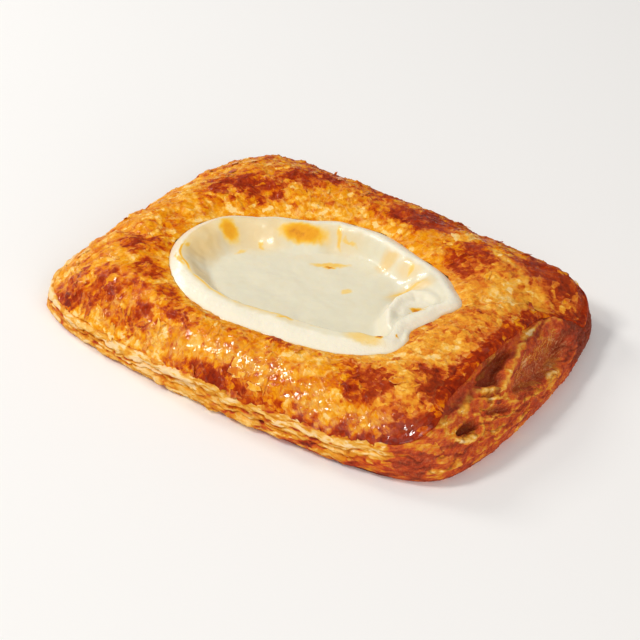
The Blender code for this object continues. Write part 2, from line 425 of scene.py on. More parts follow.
# How far down the skin reaches at the cut end, by direction: 1 is the top's outer edge, 2 the base
CUT_END_LAST = (
    (11, 0.93), (25, 0.98), (30.5, 1.18), (33, 1.45), (38, 1.38), (45, 1.25), (325, 1.12),
    (335, 1.03), (343, 0.96), (356, 0.93),
)
PALE_SHARE = 0.65  # how much a pale zone counts against a dark one
ZONE_SOFTNESS = 1.45  # a zone fades out at so many times its half length and width
SKIN_REACH = 1.18  # how far down the skin reaches elsewhere, on the same scale
SKIN_LEAST_REACH = 0.84
SKIN_RAGGEDNESS, SKIN_TEARING = 0.13, 0.07  # how much its end varies, on the same scale
FRONT_LEFT = (-40, -38, 22)  # x, y, reach of the place where the skin ends higher up
FRONT_LEFT_RISE = 0.10
FRONT_RIGHT = (52, -34, 20)  # x, y, reach of the place where its edge is dark
EDGE_BAND = 3.0  # the skin's edge is thicker and browner over this many mm
SKIN_DARKEST = 0.86
FRAYED_BAND = 4.2  # how wide the frayed edge of the front is, mm
FRAYED_PALER = 0.30
EYE_BAND = 0.16  # share of the way out over which the skin is flatter and paler beside the cream
ROLLING_HEIGHT, LUMP_HEIGHT = 0.55, 0.14
CRINKLE_HEIGHT, GLOSSY_CRINKLE_HEIGHT = 0.03, 0.07
MEAN_FLAKE_HEIGHT = 0.2
EDGE_THICKENING, FOLD_THICKENING = 0.25, 0.8  # mm: elsewhere, and at the cut end
BARE_GLAZE = 0.04  # glaze of the skin away from its glossy zones
ROLL_HALF_THICKNESS = (0.35, 0.65)  # of the rolled edge, mm: elsewhere, and at the cut end
# The skin's underside: shares of its reach, how far it lies inside the plain form (mm), shares of the eye
# where it is put on the flat map
UNDER_SHARES = np.array([0.97, 0.85, 0.5, 0.05])
UNDER_OFFSETS = np.array([1.2, 1.3, 1.5, 1.5])
UNDER_MAP_SHARES = np.array([0.9, 0.75, 0.55, 0.4])
SKIN_FLAKES = 2700
SKIN_FLAKE_SEED = 11
LEAF_REACH = 9.0  # no leaf reaches farther than this from its middle, mm
LEAF_WOBBLE = ((21, 22, 23), 3, 0.6)  # seeds, octaves, gain of the noise in the leaves' outlines
SKIN_LEAF_WOBBLE = (1.9, 0.75)  # grain size of that noise, and how far it pushes the outlines, mm
LEAF_SOFTNESS = 0.2  # a leaf reaches its full thickness so far inside its outline, mm
LEAF_RIM = (0.10, 0.17)  # how far inside the outline a leaf's rim curls up most, and its width, mm
ZONE_WOBBLE = 1.15  # how far the zones' outlines are pushed about, mm

# Kinds of noise in the skin: seed, grain size (mm), octaves, gain
SKIN_RAGGED = (5, 7.0, 4, 0.65)
SKIN_TEARS = (8, 2.6, 4, 0.7)
FOLD_WAVER = (6, 6.0, 2, 0.5)
ZONE_WOBBLES = ((31, 4.0, 4, 0.65), (32, 4.0, 4, 0.65))
ROLLING = (41, 11.0, 2, 0.5)
LUMPS = (42, 3.6, 3, 0.5)
CRINKLE = (43, 0.9, 2, 0.6)
GRAIN = (44, 2.2, 4, 0.66)
DRIFT = (45, 9.0, 2, 0.5)
PALE_GRAIN = (46, 2.4, 4, 0.62)
EDGE_WAVER = (47, 3.0, 3, 0.6)


def spotted(places, spots):
    """How strongly the spots cover each place, from 0 at their soft edges to their own strength."""
    cover = np.zeros(places.shape[:-1])
    for x, y, half_length, half_width, degrees, strength in spots:
        cosine, sine = math.cos(math.radians(degrees)), math.sin(math.radians(degrees))
        away = places - (x, y)
        lengthwise = (away[..., 0] * cosine + away[..., 1] * sine) / half_length
        crosswise = (away[..., 1] * cosine - away[..., 0] * sine) / half_width
        cover = np.maximum(cover, strength * smooth(ZONE_SOFTNESS - np.hypot(lengthwise, crosswise)))
    return cover


def warped_copies(spots, size, amount):
    """Differently wobbled copies of the spots, so that leaves laid on them have uneven outlines."""
    seeds, octaves, gain = LEAF_WOBBLE
    copies = []
    for seed in seeds:
        shifts = []
        for axis in (0, 1):
            level = np.column_stack([spots / size, np.full(len(spots), 0.5 + axis)])
            shifts.append(Perlin(seed + 10 * axis).layered(level, octaves, gain))
        copies.append(spots + amount * np.column_stack(shifts))
    return copies


def lay_leaves(spots, copies, leaves, groove_shade):
    """Lays thin leaves over each other, and gives their height, their tone and their pale thin edges.

    The last argument is how much browner the surface is along the outside of each leaf: ochre groove colour
    with painted shadow of the leaf's edge.
    """
    height, tone, edge = np.zeros(len(spots)), np.zeros(len(spots)), np.zeros(len(spots))
    order = np.argsort(spots[:, 0])
    sorted_x = spots[order, 0]
    for number, leaf in enumerate(leaves):
        low, high = np.searchsorted(sorted_x, (leaf.x - LEAF_REACH, leaf.x + LEAF_REACH))
        near = order[low:high]
        near = near[np.abs(spots[near, 1] - leaf.y) < LEAF_REACH]
        away = copies[number % len(copies)][near] - (leaf.x, leaf.y)
        cosine, sine = math.cos(leaf.turn), math.sin(leaf.turn)
        lengthwise = np.abs(away[:, 0] * cosine + away[:, 1] * sine) / leaf.half_length
        crosswise = np.abs(away[:, 1] * cosine - away[:, 0] * sine) / leaf.half_width
        reach = (lengthwise**leaf.power + crosswise**leaf.power) ** (1 / leaf.power)
        depth_in = (1 - reach) * leaf.half_width
        covered = smooth(depth_in / LEAF_SOFTNESS)
        facing = np.cos(np.arctan2(away[:, 1], away[:, 0]) - leaf.curl_way)
        rim = bell(depth_in - LEAF_RIM[0], LEAF_RIM[1]) * np.clip(0.25 + 0.9 * facing, 0, 1)
        height[near] += covered * leaf.thickness + leaf.curl * rim
        # Just outside each leaf's edge: ochre groove colour with painted shadow of the leaf
        beside = bell(depth_in + 0.16, 0.17) * (1 - covered)
        tone[near] = tone[near] * (1 - covered) + covered * leaf.tone + groove_shade * beside
        edge[near] = np.maximum(edge[near] * (1 - 0.9 * covered), rim * leaf.paleness)
    return height, tone, edge


def skin_leaves(spots, broad, areas):
    """Torn flakes all over the skin, equally dense everywhere, with paler edges where it is pale."""
    chance = np.random.default_rng(SKIN_FLAKE_SEED)
    chosen = chance.choice(len(spots), SKIN_FLAKES, p=areas / areas.sum())
    leaves = []
    for at in chosen:
        dark_here = float(np.interp(broad[at], (-0.15, 0.25), (0, 1)))
        half_length = chance.uniform(0.7, 3.2)
        pale = chance.uniform(0, 1) > 0.55 + 0.35 * dark_here
        leaves.append(
            SimpleNamespace(
                x=spots[at, 0],
                y=spots[at, 1],
                half_length=half_length,
                half_width=half_length * chance.uniform(0.3, 0.75),
                turn=chance.normal(0.35, 0.8),
                power=chance.uniform(1.5, 3.2),
                thickness=chance.uniform(0.03, 0.13),
                tone=chance.normal(0, 0.07) - 0.13 * pale,
                curl=chance.uniform(0.0, 0.22),
                curl_way=chance.uniform(0, 2 * math.pi),
                paleness=chance.uniform(0.2, 1.0) * (1 - 0.55 * dark_here),
            )
        )
    return leaves


def skin_reach(way, outline, cut):
    """How far down the skin reaches: 1 is the top's outer edge, 2 the base."""
    ragged = noise(outline, SKIN_RAGGED)
    torn = SKIN_REACH + SKIN_RAGGEDNESS * ragged + SKIN_TEARING * noise(outline, SKIN_TEARS)
    torn = torn - FRONT_LEFT_RISE * nearness(outline, FRONT_LEFT) * (1 + 1.6 * ragged)
    folded = round_profile(way.angle, CUT_END_LAST) + 0.015 * noise(outline, FOLD_WAVER)
    return np.maximum(mix(torn, folded, cut), SKIN_LEAST_REACH)


def skin_height(skin, flake_height):
    """How high the skin stands over its plain form, in mm."""
    crinkle = noise(skin.level, CRINKLE) * (CRINKLE_HEIGHT + GLOSSY_CRINKLE_HEIGHT * skin.glossy)
    height = ROLLING_HEIGHT * noise(skin.level, ROLLING) + LUMP_HEIGHT * noise(skin.level, LUMPS)
    height = height + crinkle + (flake_height - MEAN_FLAKE_HEIGHT)
    height = height * (1 - 0.8 * skin.near_eye) * (1 - 0.7 * smooth(1 - skin.to_edge / 7.0))
    rim = EDGE_THICKENING * skin.near_edge
    fold = FOLD_THICKENING * smooth(1.2 - skin.to_edge / 3.4)
    return height + mix(rim, fold - rim, skin.cut)


def skin_browning(skin, flake_tone, flake_edge):
    """The skin's browning, its pale thin edges with a painted highlight along the cut end's fold, and where
    it is frayed along the front.
    """
    x, y = skin.top[..., 0], skin.top[..., 1]
    grain, drift, pale_grain = [noise(skin.level, kind) for kind in (GRAIN, DRIFT, PALE_GRAIN)]
    back = smooth((y - 24) / 14)
    front_right = nearness(skin.top, FRONT_RIGHT)
    patchy = skin.broad + 0.19 * back + 0.08 * front_right - 0.10 * skin.near_eye
    scorched = smooth((patchy + 0.22 * grain + 0.08 * drift - 0.06) / 0.21)
    bare = smooth((0.26 * pale_grain - patchy - 0.08) / 0.06)
    brown = 0.45 + flake_tone + 0.45 * patchy + 0.06 * drift + 0.06 * grain
    brown = brown + 0.16 * scorched - 0.13 * bare
    rim = skin.near_edge * mix(0.03, 0.40, np.maximum(skin.cut, front_right))
    fold = skin.cut * smooth(1.15 - (skin.to_edge - 1.8 * skin.waver) / 6.5)
    brown = brown + np.maximum(rim, 0.31 * fold)
    front = smooth((-y - 30) / 8) * (1 - smooth((x + 12) / 14)) * (1 - skin.cut)
    frayed = front * smooth((FRAYED_BAND - skin.to_edge + 2.2 * skin.waver) / 2.0)
    frayed = frayed * smooth(0.55 + 1.5 * pale_grain)
    brown = np.minimum(brown - FRAYED_PALER * frayed, SKIN_DARKEST)
    # A painted highlight: a pale line along the fold's crest at the cut end, passed on as a thin edge
    fold_highlight = bell(skin.near_edge - 0.35, 0.3) * skin.cut * smooth(skin.to_edge / 1.5)
    thin_edge = np.maximum(flake_edge * (1 - skin.near_edge * skin.cut), 0.6 * fold_highlight)
    return brown, thin_edge, frayed


def rolled_edge(end, out, down, half):
    """Rings half round the skin's thickness, from its last ring."""
    rings = []
    for turn in np.linspace(0, np.pi, SKIN_ROLL_RINGS + 1)[1:]:
        reach = np.cos(turn) * out + np.sin(turn) * down
        rings.append(end - out * half[:, None] + reach * half[:, None])
    return np.array(rings)


def skin_map_places(way, flat, half):
    """The skin laid flat: its top, the rolled edge round it, and the underside inside the eye."""
    run = np.linspace(0, 1, SKIN_ROLL_RINGS + 1)[1:, None] * np.pi * half
    radius = np.linalg.norm(flat[-1], axis=-1) + run
    radius = np.vstack([radius, way.eye * UNDER_MAP_SHARES[:, None]])
    tail = np.stack([radius * np.cos(way.angle), radius * np.sin(way.angle)], axis=-1)
    return np.concatenate([flat, tail])


def skin_piece(way, material):
    """The browned top skin: a shell with a torn rolled edge that hangs over the layers below."""
    outline = placed(way, way.widest, 0.0)
    cut = cut_end_share(outline)
    reach = skin_reach(way, outline, cut)
    along = reach * np.linspace(0, 1, SKIN_TOP_RINGS)[:, None]
    top = plain_form(way, along)
    down, out = directions(top)
    flat = flattened(way, top)
    level = np.concatenate([flat, np.zeros((*flat.shape[:2], 1))], axis=-1)
    moved = top[..., :2] + ZONE_WOBBLE * wobble(level, ZONE_WOBBLES)
    waver = noise(level, EDGE_WAVER)
    to_edge = (reach - along) * (way.edge - way.eye)
    skin = SimpleNamespace(
        top=top,
        level=level,
        cut=cut,
        waver=waver,
        to_edge=to_edge,
        near_edge=smooth((EDGE_BAND - to_edge + 0.9 * waver) / mix(3.0, 0.8, cut)),
        near_eye=smooth(1 - along / EYE_BAND),
        broad=spotted(moved, DARK_ZONES) - PALE_SHARE * spotted(moved, PALE_ZONES),
        glossy=spotted(moved, GLOSSY_ZONES),
    )
    spots = flat.reshape(-1, 2)
    leaves = skin_leaves(spots, skin.broad.ravel(), cell_areas(top).ravel())
    laid = lay_leaves(spots, warped_copies(spots, *SKIN_LEAF_WOBBLE), leaves, 0.0)
    flake_height, flake_tone, flake_edge = [values.reshape(top.shape[:2]) for values in laid]
    surface = top + out * skin_height(skin, flake_height)[..., None]
    brown, thin_edge, frayed = skin_browning(skin, flake_tone, flake_edge)

    half = mix(*ROLL_HALF_THICKNESS, cut)
    roll = rolled_edge(surface[-1], out[-1], down[-1], half)
    under = plain_form(way, reach * UNDER_SHARES[:, None])
    under = under + directions(under)[1] * UNDER_OFFSETS[:, None, None]
    grid = np.concatenate([surface, roll, under])

    def to_whole_grid(values):
        return np.vstack([values, np.repeat(values[-1:], len(grid) - len(values), axis=0)])

    fields = {
        "browning": to_whole_grid(brown),
        # Pale thin edges, with the painted highlight along the fold at the cut end
        "thin_edge": to_whole_grid(thin_edge),
        "glaze": to_whole_grid(mix(BARE_GLAZE, 1.0, skin.glossy * (1 - frayed))),
    }
    flat_map = disc_map(skin_map_places(way, flat, half))
    piece = grid_piece("top_skin", grid, fields, flat_map, material, closed=True)
    return piece, SimpleNamespace(grid=surface, out=out, down=down, brown=brown, reach=reach)


# -------- The puffed layers under the skin --------

# Down the side: share of the drop, how far the layer stands out in mm, browning
STRATA = (
    (0.00, -0.5, 0.40), (0.07, -0.5, 0.36), (0.11, -0.1, 0.20), (0.17, 0.60, 0.05),
    (0.27, 0.95, 0.00), (0.36, 0.80, 0.00), (0.42, 0.30, 0.08), (0.455, -0.45, 0.34),
    (0.49, -0.05, 0.20), (0.53, 0.35, 0.05), (0.58, 0.15, 0.12), (0.61, -0.35, 0.34),
    (0.66, 0.25, 0.20), (0.75, 0.50, 0.15), (0.84, 0.40, 0.20), (0.89, 0.05, 0.34),
    (0.93, 0.10, 0.34), (1.00, 0.0, 0.46),
)
# Hollows of the cut end: depth, how far in they are full (mm), darkness (painted shade); outline through
# places (y, z)
HOLLOWS = (
    (
        (3.6, 2.4, 0.34),
        (
            (3.0, 12.4), (9.0, 11.8), (15.0, 11.2), (20.5, 10.0), (22.6, 8.0), (20.8, 5.9),
            (13.4, 5.4), (6.0, 6.0), (0.0, 6.6), (-4.8, 7.7), (-7.8, 9.2), (-6.4, 10.3),
            (-2.4, 11.6),
        ),
    ),
    (
        (3.4, 0.9, 0.85),
        (
            (-14.0, 13.4), (-8.5, 14.8), (-3.9, 15.4), (3.0, 14.6), (1.4, 13.2), (-4.4, 12.3),
            (-7.7, 11.2), (-11.6, 12.0),
        ),
    ),
    ((1.8, 0.7, 0.75), ((-15.8, 12.2), (-11.4, 11.4), (-9.4, 10.9), (-11.4, 10.4), (-14.4, 11.2))),
    (
        (2.4, 1.0, 0.70),
        (
            (-17.9, 10.6), (-14.0, 9.8), (-9.6, 8.6), (-8.6, 7.6), (-11.6, 7.4), (-15.6, 8.4),
        ),
    ),
    ((3.8, 0.8, 1.00), ((-27.0, 9.2), (-23.0, 10.2), (-19.4, 9.7), (-19.6, 7.9), (-23.0, 7.7))),
    ((1.6, 0.7, 0.90), ((22.6, 4.4), (23.8, 5.6), (25.4, 5.0), (24.4, 3.8))),
)
# Paler places of the cut end: y, z, half length, half width, turn in degrees, strength
PALE_IN_HOLLOW = ((11.5, 6.8, 5.0, 1.1, 6, 1.0), (0.0, 9.0, 3.0, 0.8, 20, 0.5))
# Ridges of the cut end: height, half width (mm); path through places (y, z)
RIDGES = (
    (
        (0.60, 0.36),
        (
            (23.0, 9.0), (20.5, 10.6), (15.0, 11.9), (9.0, 12.5), (3.6, 12.7), (-3.6, 11.8),
            (-7.9, 10.6), (-11.6, 11.5), (-14.6, 12.6),
        ),
    ),
    (
        (0.42, 0.34),
        (
            (-16.8, 11.8), (-13.6, 10.7), (-10.6, 9.5), (-8.2, 8.4), (-5.2, 7.1), (2.7, 5.8),
            (9.6, 5.2),
        ),
    ),
    ((0.42, 0.32), ((-19.4, 9.9), (-17.9, 8.6), (-14.6, 7.6), (-10.6, 6.8), (-7.4, 7.0))),
    ((0.60, 0.46), ((-27.5, 8.4), (-24.0, 7.0), (-20.6, 7.0), (-18.6, 8.0), (-18.9, 9.6))),
    ((0.30, 0.34), ((9.6, 5.2), (16.0, 4.7), (22.0, 5.0))),
    ((0.35, 0.30), ((-34.9, 3.4), (-23.6, 4.4), (-14.0, 4.6), (-4.3, 4.6), (12.4, 3.2), (20.0, 3.0))),
    ((0.28, 0.24), ((-33.0, 5.6), (-22.0, 5.8), (-12.0, 5.9), (-4.0, 5.6))),
    ((0.25, 0.26), ((-33.0, 1.9), (-18.0, 2.4), (0.0, 2.4), (16.0, 1.6))),
    ((0.34, 0.30), ((-30.0, 11.3), (-24.0, 10.9), (-19.5, 11.3), (-15.5, 12.8))),
)
INNER_ALONG = (0.40, 0.58, 0.70)  # rings of the layers hidden under the skin
FIRST_SIDE_ALONG = 0.76
UNDER_SKIN_DEPTH = 1.0  # how far the layers lie under the skin, mm
LEAF_FLATNESS = np.array([0.35, 1.0])  # leaves' outlines wobble in longer waves lengthwise
SIDE_LEAF_WOBBLE = (1.6, 0.30)
# How much browner just outside each side leaf: ochre groove colour with painted shadow
SIDE_GROOVE_SHADE = 0.12
SIDE_LEAVES = 560
SIDE_LEAF_SEED = 17
RIM_OUTSET, RIM_DEPTH = 0.4, 2.0  # where the recess begins, out from and below the eye's edge, mm
BASE_SHARES = (0.985, 0.93, 0.8, 0.55, 0.25)
BASE_BROWNING = 0.66
RECESS_BROWNING = 0.4
MAP_STRIPS = 4  # the side is laid on the flat map in so many strips
MAP_SIDE = (0.30, 0.995)  # the part of the map's height that they take
MAP_SPAN = 480.0  # the base and the recess are laid beside each other at this scale, mm
MAP_BASE = np.array([0.16, 0.14])
MAP_RECESS = np.array([0.51, 0.14])
# Kinds of noise in the layers: seed, grain size (mm, for each axis), octaves, gain
WAVES = (51, (11.0, 11.0, 30.0), 2, 0.5)
SMALL_WAVES = (52, (3.6, 3.6, 3.0), 3, 0.5)
THIN_SHEETS = (53, (5.0, 5.0, 0.55), 3, 0.6)
TORN = (54, (1.3, 1.3, 0.9), 3, 0.6)
HATCH = (55, (0.5, 0.5, 1.6), 2, 0.5)
PUFFS = (56, (6.5, 6.5, 5.0), 3, 0.55)
FIBRES = (57, (2.4, 0.34, 3.0), 3, 0.6)
OCHRE = (58, (4.5, 4.5, 2.0), 4, 0.6)
HOLLOW_WOBBLES = ((61, (3.0, 3.0, 1.6), 3, 0.6), (62, (3.0, 3.0, 1.6), 3, 0.6))
HOLLOW_WOBBLE = np.array([0.6, 0.3])  # how far the hollows' outlines are pushed about, mm
# The cut end's fibres run this way across it, in degrees up from level
FIBRE_TURN = 38.0
FIBRE_RUN = np.array([0.0, math.cos(math.radians(FIBRE_TURN)), math.sin(math.radians(FIBRE_TURN))])
FIBRE_SIDE = np.array([0.0, -math.sin(math.radians(FIBRE_TURN)), math.cos(math.radians(FIBRE_TURN))])


def within(places, outline):
    """Whether each place lies inside the outline."""
    inside = np.zeros(len(places), bool)
    y, z = places.T
    for (y0, z0), (y1, z1) in itertools.pairwise((*outline, outline[0])):
        if z0 != z1:
            inside ^= ((z0 > z) != (z1 > z)) & (y < y0 + (z - z0) / (z1 - z0) * (y1 - y0))
    return inside


def cut_end_features(form, cut):
    """The cut end's features: how deep its hollows are, how dark their painted shade is, and how high its
    ridges.
    """
    shape = form.shape[:2]
    places = (form[..., 1:] + wobble(form, HOLLOW_WOBBLES) * HOLLOW_WOBBLE).reshape(-1, 2)
    depth, dark, ridge = [np.zeros(len(places)) for _ in range(3)]
    for (deep, slope, darkness), outline in HOLLOWS:
        distance = distance_to_path(places, (*outline, outline[0]))
        into = smooth(np.where(within(places, outline), distance, 0) / slope)
        depth = np.maximum(depth, deep * into)
        dark = np.maximum(dark, darkness * into)
    for (height, half_width), path in RIDGES:
        ridge = np.maximum(ridge, height * bell(distance_to_path(places, path), half_width))
    return [values.reshape(shape) * cut for values in (depth, dark, ridge)]


def side_leaves(around, tall):
    """Long thin leaves of dough all round the sides, with copies across the seam of the round."""
    chance = np.random.default_rng(SIDE_LEAF_SEED)
    leaves = []
    for _ in range(SIDE_LEAVES):
        half_width = 0.3 + 1.3 * chance.uniform(0, 1) ** 1.8
        leaf = SimpleNamespace(
            x=chance.uniform(0, around),
            y=chance.uniform(0.2, tall),
            half_length=min(half_width * chance.uniform(1.6, 6.0), 0.8 * LEAF_REACH),
            half_width=half_width,
            turn=chance.normal(0, 0.16),
            power=chance.uniform(1.4, 2.6),
            thickness=chance.uniform(0.08, 0.28),
            tone=chance.normal(0.02, 0.09) - 0.07 * half_width,
            curl=chance.uniform(0.0, 0.14),
            curl_way=chance.normal(-1.57, 0.9),
            paleness=chance.uniform(0.0, 0.8),
        )
        leaves.append(leaf)
        for shift in (-around, around):
            if -LEAF_REACH < leaf.x + shift < around + LEAF_REACH:
                leaves.append(SimpleNamespace(**{**vars(leaf), "x": leaf.x + shift}))
    return leaves


def lay_side_leaves(way, drop):
    """The leaves laid on the sides: their height, tone and pale edges."""
    rim_line = plain_form(way, np.ones((1, len(way.angle))))[0]
    lengths = np.linalg.norm(np.roll(rim_line, -1, axis=0) - rim_line, axis=-1)
    travelled = np.concatenate([[0], np.cumsum(lengths)[:-1]])
    spots = np.stack([np.broadcast_to(travelled, drop.shape), drop * way.edge_height], axis=-1)
    spots = spots.reshape(-1, 2)
    flatter = warped_copies(spots * LEAF_FLATNESS, *SIDE_LEAF_WOBBLE)
    copies = [copy / LEAF_FLATNESS for copy in flatter]
    leaves = side_leaves(lengths.sum(), way.edge_height.max())
    return [values.reshape(drop.shape) for values in lay_leaves(spots, copies, leaves, SIDE_GROOVE_SHADE)]


def side_look(way, form, drop):
    """Relief and browning of the puffed sides, and what the cut end's own look needs of them."""
    waving = 0.20 * noise(form, WAVES) + 0.09 * noise(form, SMALL_WAVES)
    stratum = np.clip(drop + waving * np.sin(np.pi * drop), 0, 1)
    shares, stands_out, browning = np.array(STRATA).T
    relief = np.interp(stratum, shares, stands_out) * (1.0 + 0.9 * noise(form, PUFFS))
    # Where the layers are recessed; at the cut end this is painted as shade
    crevice_shade = smooth((-relief - 0.08) / 0.3) * smooth(drop / 0.1) * (1 - smooth((drop - 0.9) / 0.1))
    leaf_height, leaf_tone, leaf_edge = lay_side_leaves(way, drop)
    sheets = np.stack([form[..., 0], form[..., 1], stratum * way.edge_height], axis=-1)
    thin, torn = noise(sheets, THIN_SHEETS), noise(form, TORN)
    relief = 0.75 * relief + leaf_height - 0.15 + 0.12 * thin + 0.08 * torn + 0.04 * noise(form, HATCH)
    brown = np.interp(stratum, shares, browning) + leaf_tone + 0.10 * thin + 0.05 * torn
    right = smooth((form[..., 0] + 8) / 44) * smooth((-form[..., 1] - 10) / 20)
    behind = smooth((form[..., 1] + 5) / 25)
    brown = brown + 0.24 * smooth((noise(form, OCHRE) + 0.02) / 0.30)
    brown = brown + right * mix(0.16, 0.30, smooth((drop - 0.35) / 0.3)) + 0.16 * behind
    return SimpleNamespace(
        relief=relief,
        brown=brown,
        crevice_shade=crevice_shade,
        leaf_tone=leaf_tone,
        leaf_edge=leaf_edge,
        thin=thin,
        torn=torn,
    )


def cut_end_look(form, side, cut):
    """Relief, browning and the fields of the cut end: hollows with fibres in them, painted shade in its
    hollows and crevices, and ridges.
    """
    deep, dark, ridge = cut_end_features(form, cut)
    along_fibres = np.stack([form @ FIBRE_RUN, form @ FIBRE_SIDE, form[..., 0]], axis=-1)
    fibres = noise(along_fibres, FIBRES)
    in_hollow = smooth(deep / 2.5)
    relief = 0.40 * side.relief - deep * (1 - 0.9 * np.minimum(ridge / 0.3, 1)) + ridge + 0.16 * fibres
    brown = 0.66 + 0.6 * side.leaf_tone + 0.18 * side.thin + 0.08 * side.torn + 0.12 * fibres
    low = smooth((7.4 - form[..., 2]) / 2.5)
    brown = brown - mix(0.64, 0.45, low) * np.minimum(ridge, 0.5) + 0.06 * low
    brown = brown + 0.32 * smooth((form[..., 1] - 14) / 10)
    faced = form[..., 1:] + 0.5 * np.stack([side.thin, side.torn], axis=-1)
    brown = brown - 0.20 * spotted(faced, PALE_IN_HOLLOW)
    dull = np.clip(0.12 + 0.60 * in_hollow * (1 - 0.6 * dark), 0, 0.8)
    return SimpleNamespace(
        relief=relief,
        brown=brown,
        ridge=ridge,
        dull=cut * dull * (1 - np.minimum(2 * ridge, 1)),
        # Painted shade: darker in the deep hollows and in the recessed crevices of the cut end
        hollow_shade=np.maximum(dark, 0.75 * side.crevice_shade * cut * (1 - in_hollow)),
    )


def layers_piece(way, reach, material):
    """The body under the skin: puffed layers down its sides, a browned base, a recess for the cream.

    reach is how far down the skin covers it.
    """
    open_side = np.linspace(FIRST_SIDE_ALONG, 2.0, LAYER_SIDE_RINGS)
    side_along = np.concatenate([INNER_ALONG, open_side])[:, None]
    form = plain_form(way, side_along * np.ones(len(way.angle)))
    out = directions(form)[1]
    shape = form.shape[:2]
    drop = np.broadcast_to(np.clip(side_along - 1, 0, 1), shape)
    cut = cut_end_share(form) * smooth((side_along - 0.8) / 0.06)
    side = side_look(way, form, drop)
    end = cut_end_look(form, side, cut)

    relief = mix(side.relief, end.relief, cut)
    relief = mix(relief, -UNDER_SKIN_DEPTH, smooth((reach - side_along) / 0.08))
    at_base = smooth((drop - 0.93) / 0.07)
    surface = form + out * (relief * (1 - at_base))[..., None]
    surface[..., 2] = np.maximum(surface[..., 2], 0.0)
    surface[-1, :, 2] = 0.0

    # Inside of the rings: the recess under the cream. Outside: the base
    floor = placed(way, way.eye * RECESS_FLOOR_SHARE, RECESS_FLOOR)
    rim = placed(way, way.eye + RIM_OUTSET, way.eye_height - RIM_DEPTH)
    centre = np.array([*EYE_CENTRE, 0.0])
    base = [centre + (surface[-1] - centre) * share for share in BASE_SHARES]
    grid = np.concatenate([np.array([floor, rim]), surface, np.array(base)])
    head, tail = 2, len(base)

    def to_whole_grid(values, in_recess=0.0, on_base=0.0):
        recess, beneath = np.full((head, shape[1]), in_recess), np.full((tail, shape[1]), on_base)
        return np.vstack([recess, values, beneath])

    fields = {
        "browning": to_whole_grid(mix(side.brown, end.brown, cut), RECESS_BROWNING, BASE_BROWNING),
        # Painted shade of the cut end's hollows and crevices
        "hollow_shade": to_whole_grid(end.hollow_shade),
        "dull": to_whole_grid(end.dull),
        "thin_edge": to_whole_grid(0.25 * end.ridge + 0.5 * side.leaf_edge * (1 - 0.4 * cut)),
    }
    piece = grid_piece("layers", grid, fields, strip_map(grid, head, tail), material)
    return piece, SimpleNamespace(grid=surface, out=out)


def strip_map(grid, head, tail):
    """A flat map for the layers: the side in strips one above the other, the base and recess below them."""
    low, high = MAP_SIDE

    def flat(rings, around, closed):
        side = grid[head - 1 : rings - tail + 1]
        steps = np.linalg.norm(np.diff(side, axis=0), axis=-1)
        travelled = np.vstack([np.zeros(around), np.cumsum(steps, axis=0)]).mean(axis=1)
        travelled = travelled / travelled[-1]
        faces = grid_faces(rings, around, closed)
        ring, spoke = np.divmod(faces, around)
        first_spoke = spoke[:, :1]
        spoke = np.where(spoke < first_spoke, spoke + around, spoke)
        strip = first_spoke * MAP_STRIPS // around
        across = (spoke * MAP_STRIPS / around - strip) * 0.98 + 0.01
        level = np.clip(ring - head + 1, 0, len(travelled) - 1)
        up = low + (high - low) * (strip + 0.02 + 0.96 * (1 - travelled[level])) / MAP_STRIPS
        on_side = ((ring >= head - 1) & (ring <= rings - tail)).all(axis=1)
        on_base = (ring >= rings - tail - 1).all(axis=1) & ~on_side
        corner = np.where(on_base[:, None, None], MAP_BASE, MAP_RECESS)
        level_places = grid[..., :2].reshape(-1, 2)[faces] / MAP_SPAN + corner
        quads = np.where(on_side[:, None, None], np.stack([across, up], axis=-1), level_places)
        recess = grid[0][:, :2] / MAP_SPAN + MAP_RECESS
        base = grid[-1][::-1, :2] / MAP_SPAN + MAP_BASE
        return np.vstack([quads.reshape(-1, 2), recess, base])

    return flat


# -------- Loose flakes on the skin, and strands of torn dough across the broad hollow --------

LOOSE_FLAKES = 240
LOOSE_SEED = 29
FLAKE_AROUND = 12
FLAKE_THICKNESS = 0.07
FLAKE_HALF_LENGTHS = (0.5, 2.2)
FLAKE_SLIMNESS = (0.15, 0.5)
# Rings of a flake: share of its reach, level in thicknesses, how pale, share of the flat map's cell
FLAKE_RINGS = (
    (0.06, 0.5, 0.0, 0.03),
    (0.5, 0.5, 0.0, 0.20),
    (0.85, 0.5, 0.1, 0.33),
    (1.0, 0.35, 0.45, 0.40),
    (1.0, -0.35, 0.45, 0.44),
    (0.6, -0.5, 0.2, 0.47),
    (0.06, -0.5, 0.1, 0.49),
)
STRANDS = 320
STRAND_FROM = np.array([-2.0, 9.2])  # the line they lie along, through places (y, z)
STRAND_TO = np.array([18.5, 8.0])
STRAND_SPREAD = (1.4, 1.1)
STRAND_HALF_LENGTHS = (0.4, 1.3)
STRAND_RADII = (0.03, 0.065)
STRAND_SINK, STRAND_ARCH = 0.05, 0.16  # how far its ends lie in the surface, and its middle above them
STRAND_DIP = 0.8  # strands that would dip farther than this into a hollow are left out, mm
STRAND_SEED = 37
STRAND_AROUND = 6
STRAND_STEPS = 12


def many_pieces(name, grids, fields, cells, material):
    """One mesh of many small grids of rings. cells gives each grid's own flat map, 0 to 1 both ways."""
    count, rings, around = grids.shape[:3]
    one_faces, caps = grid_faces(rings, around, False), cap_faces(rings, around)
    faces = []
    for number in range(count):
        first = number * rings * around
        faces += (one_faces + first).tolist()
        faces += [[corner + first for corner in cap] for cap in caps]
    across = math.ceil(math.sqrt(count))
    own = np.vstack([cells[one_faces.ravel()], cells[caps[0]], cells[caps[1]]])
    places = np.stack([np.arange(count) % across, np.arange(count) // across], axis=-1)
    return make_piece(name, grids, faces, fields, (places[:, None] + own[None]) / across, material)


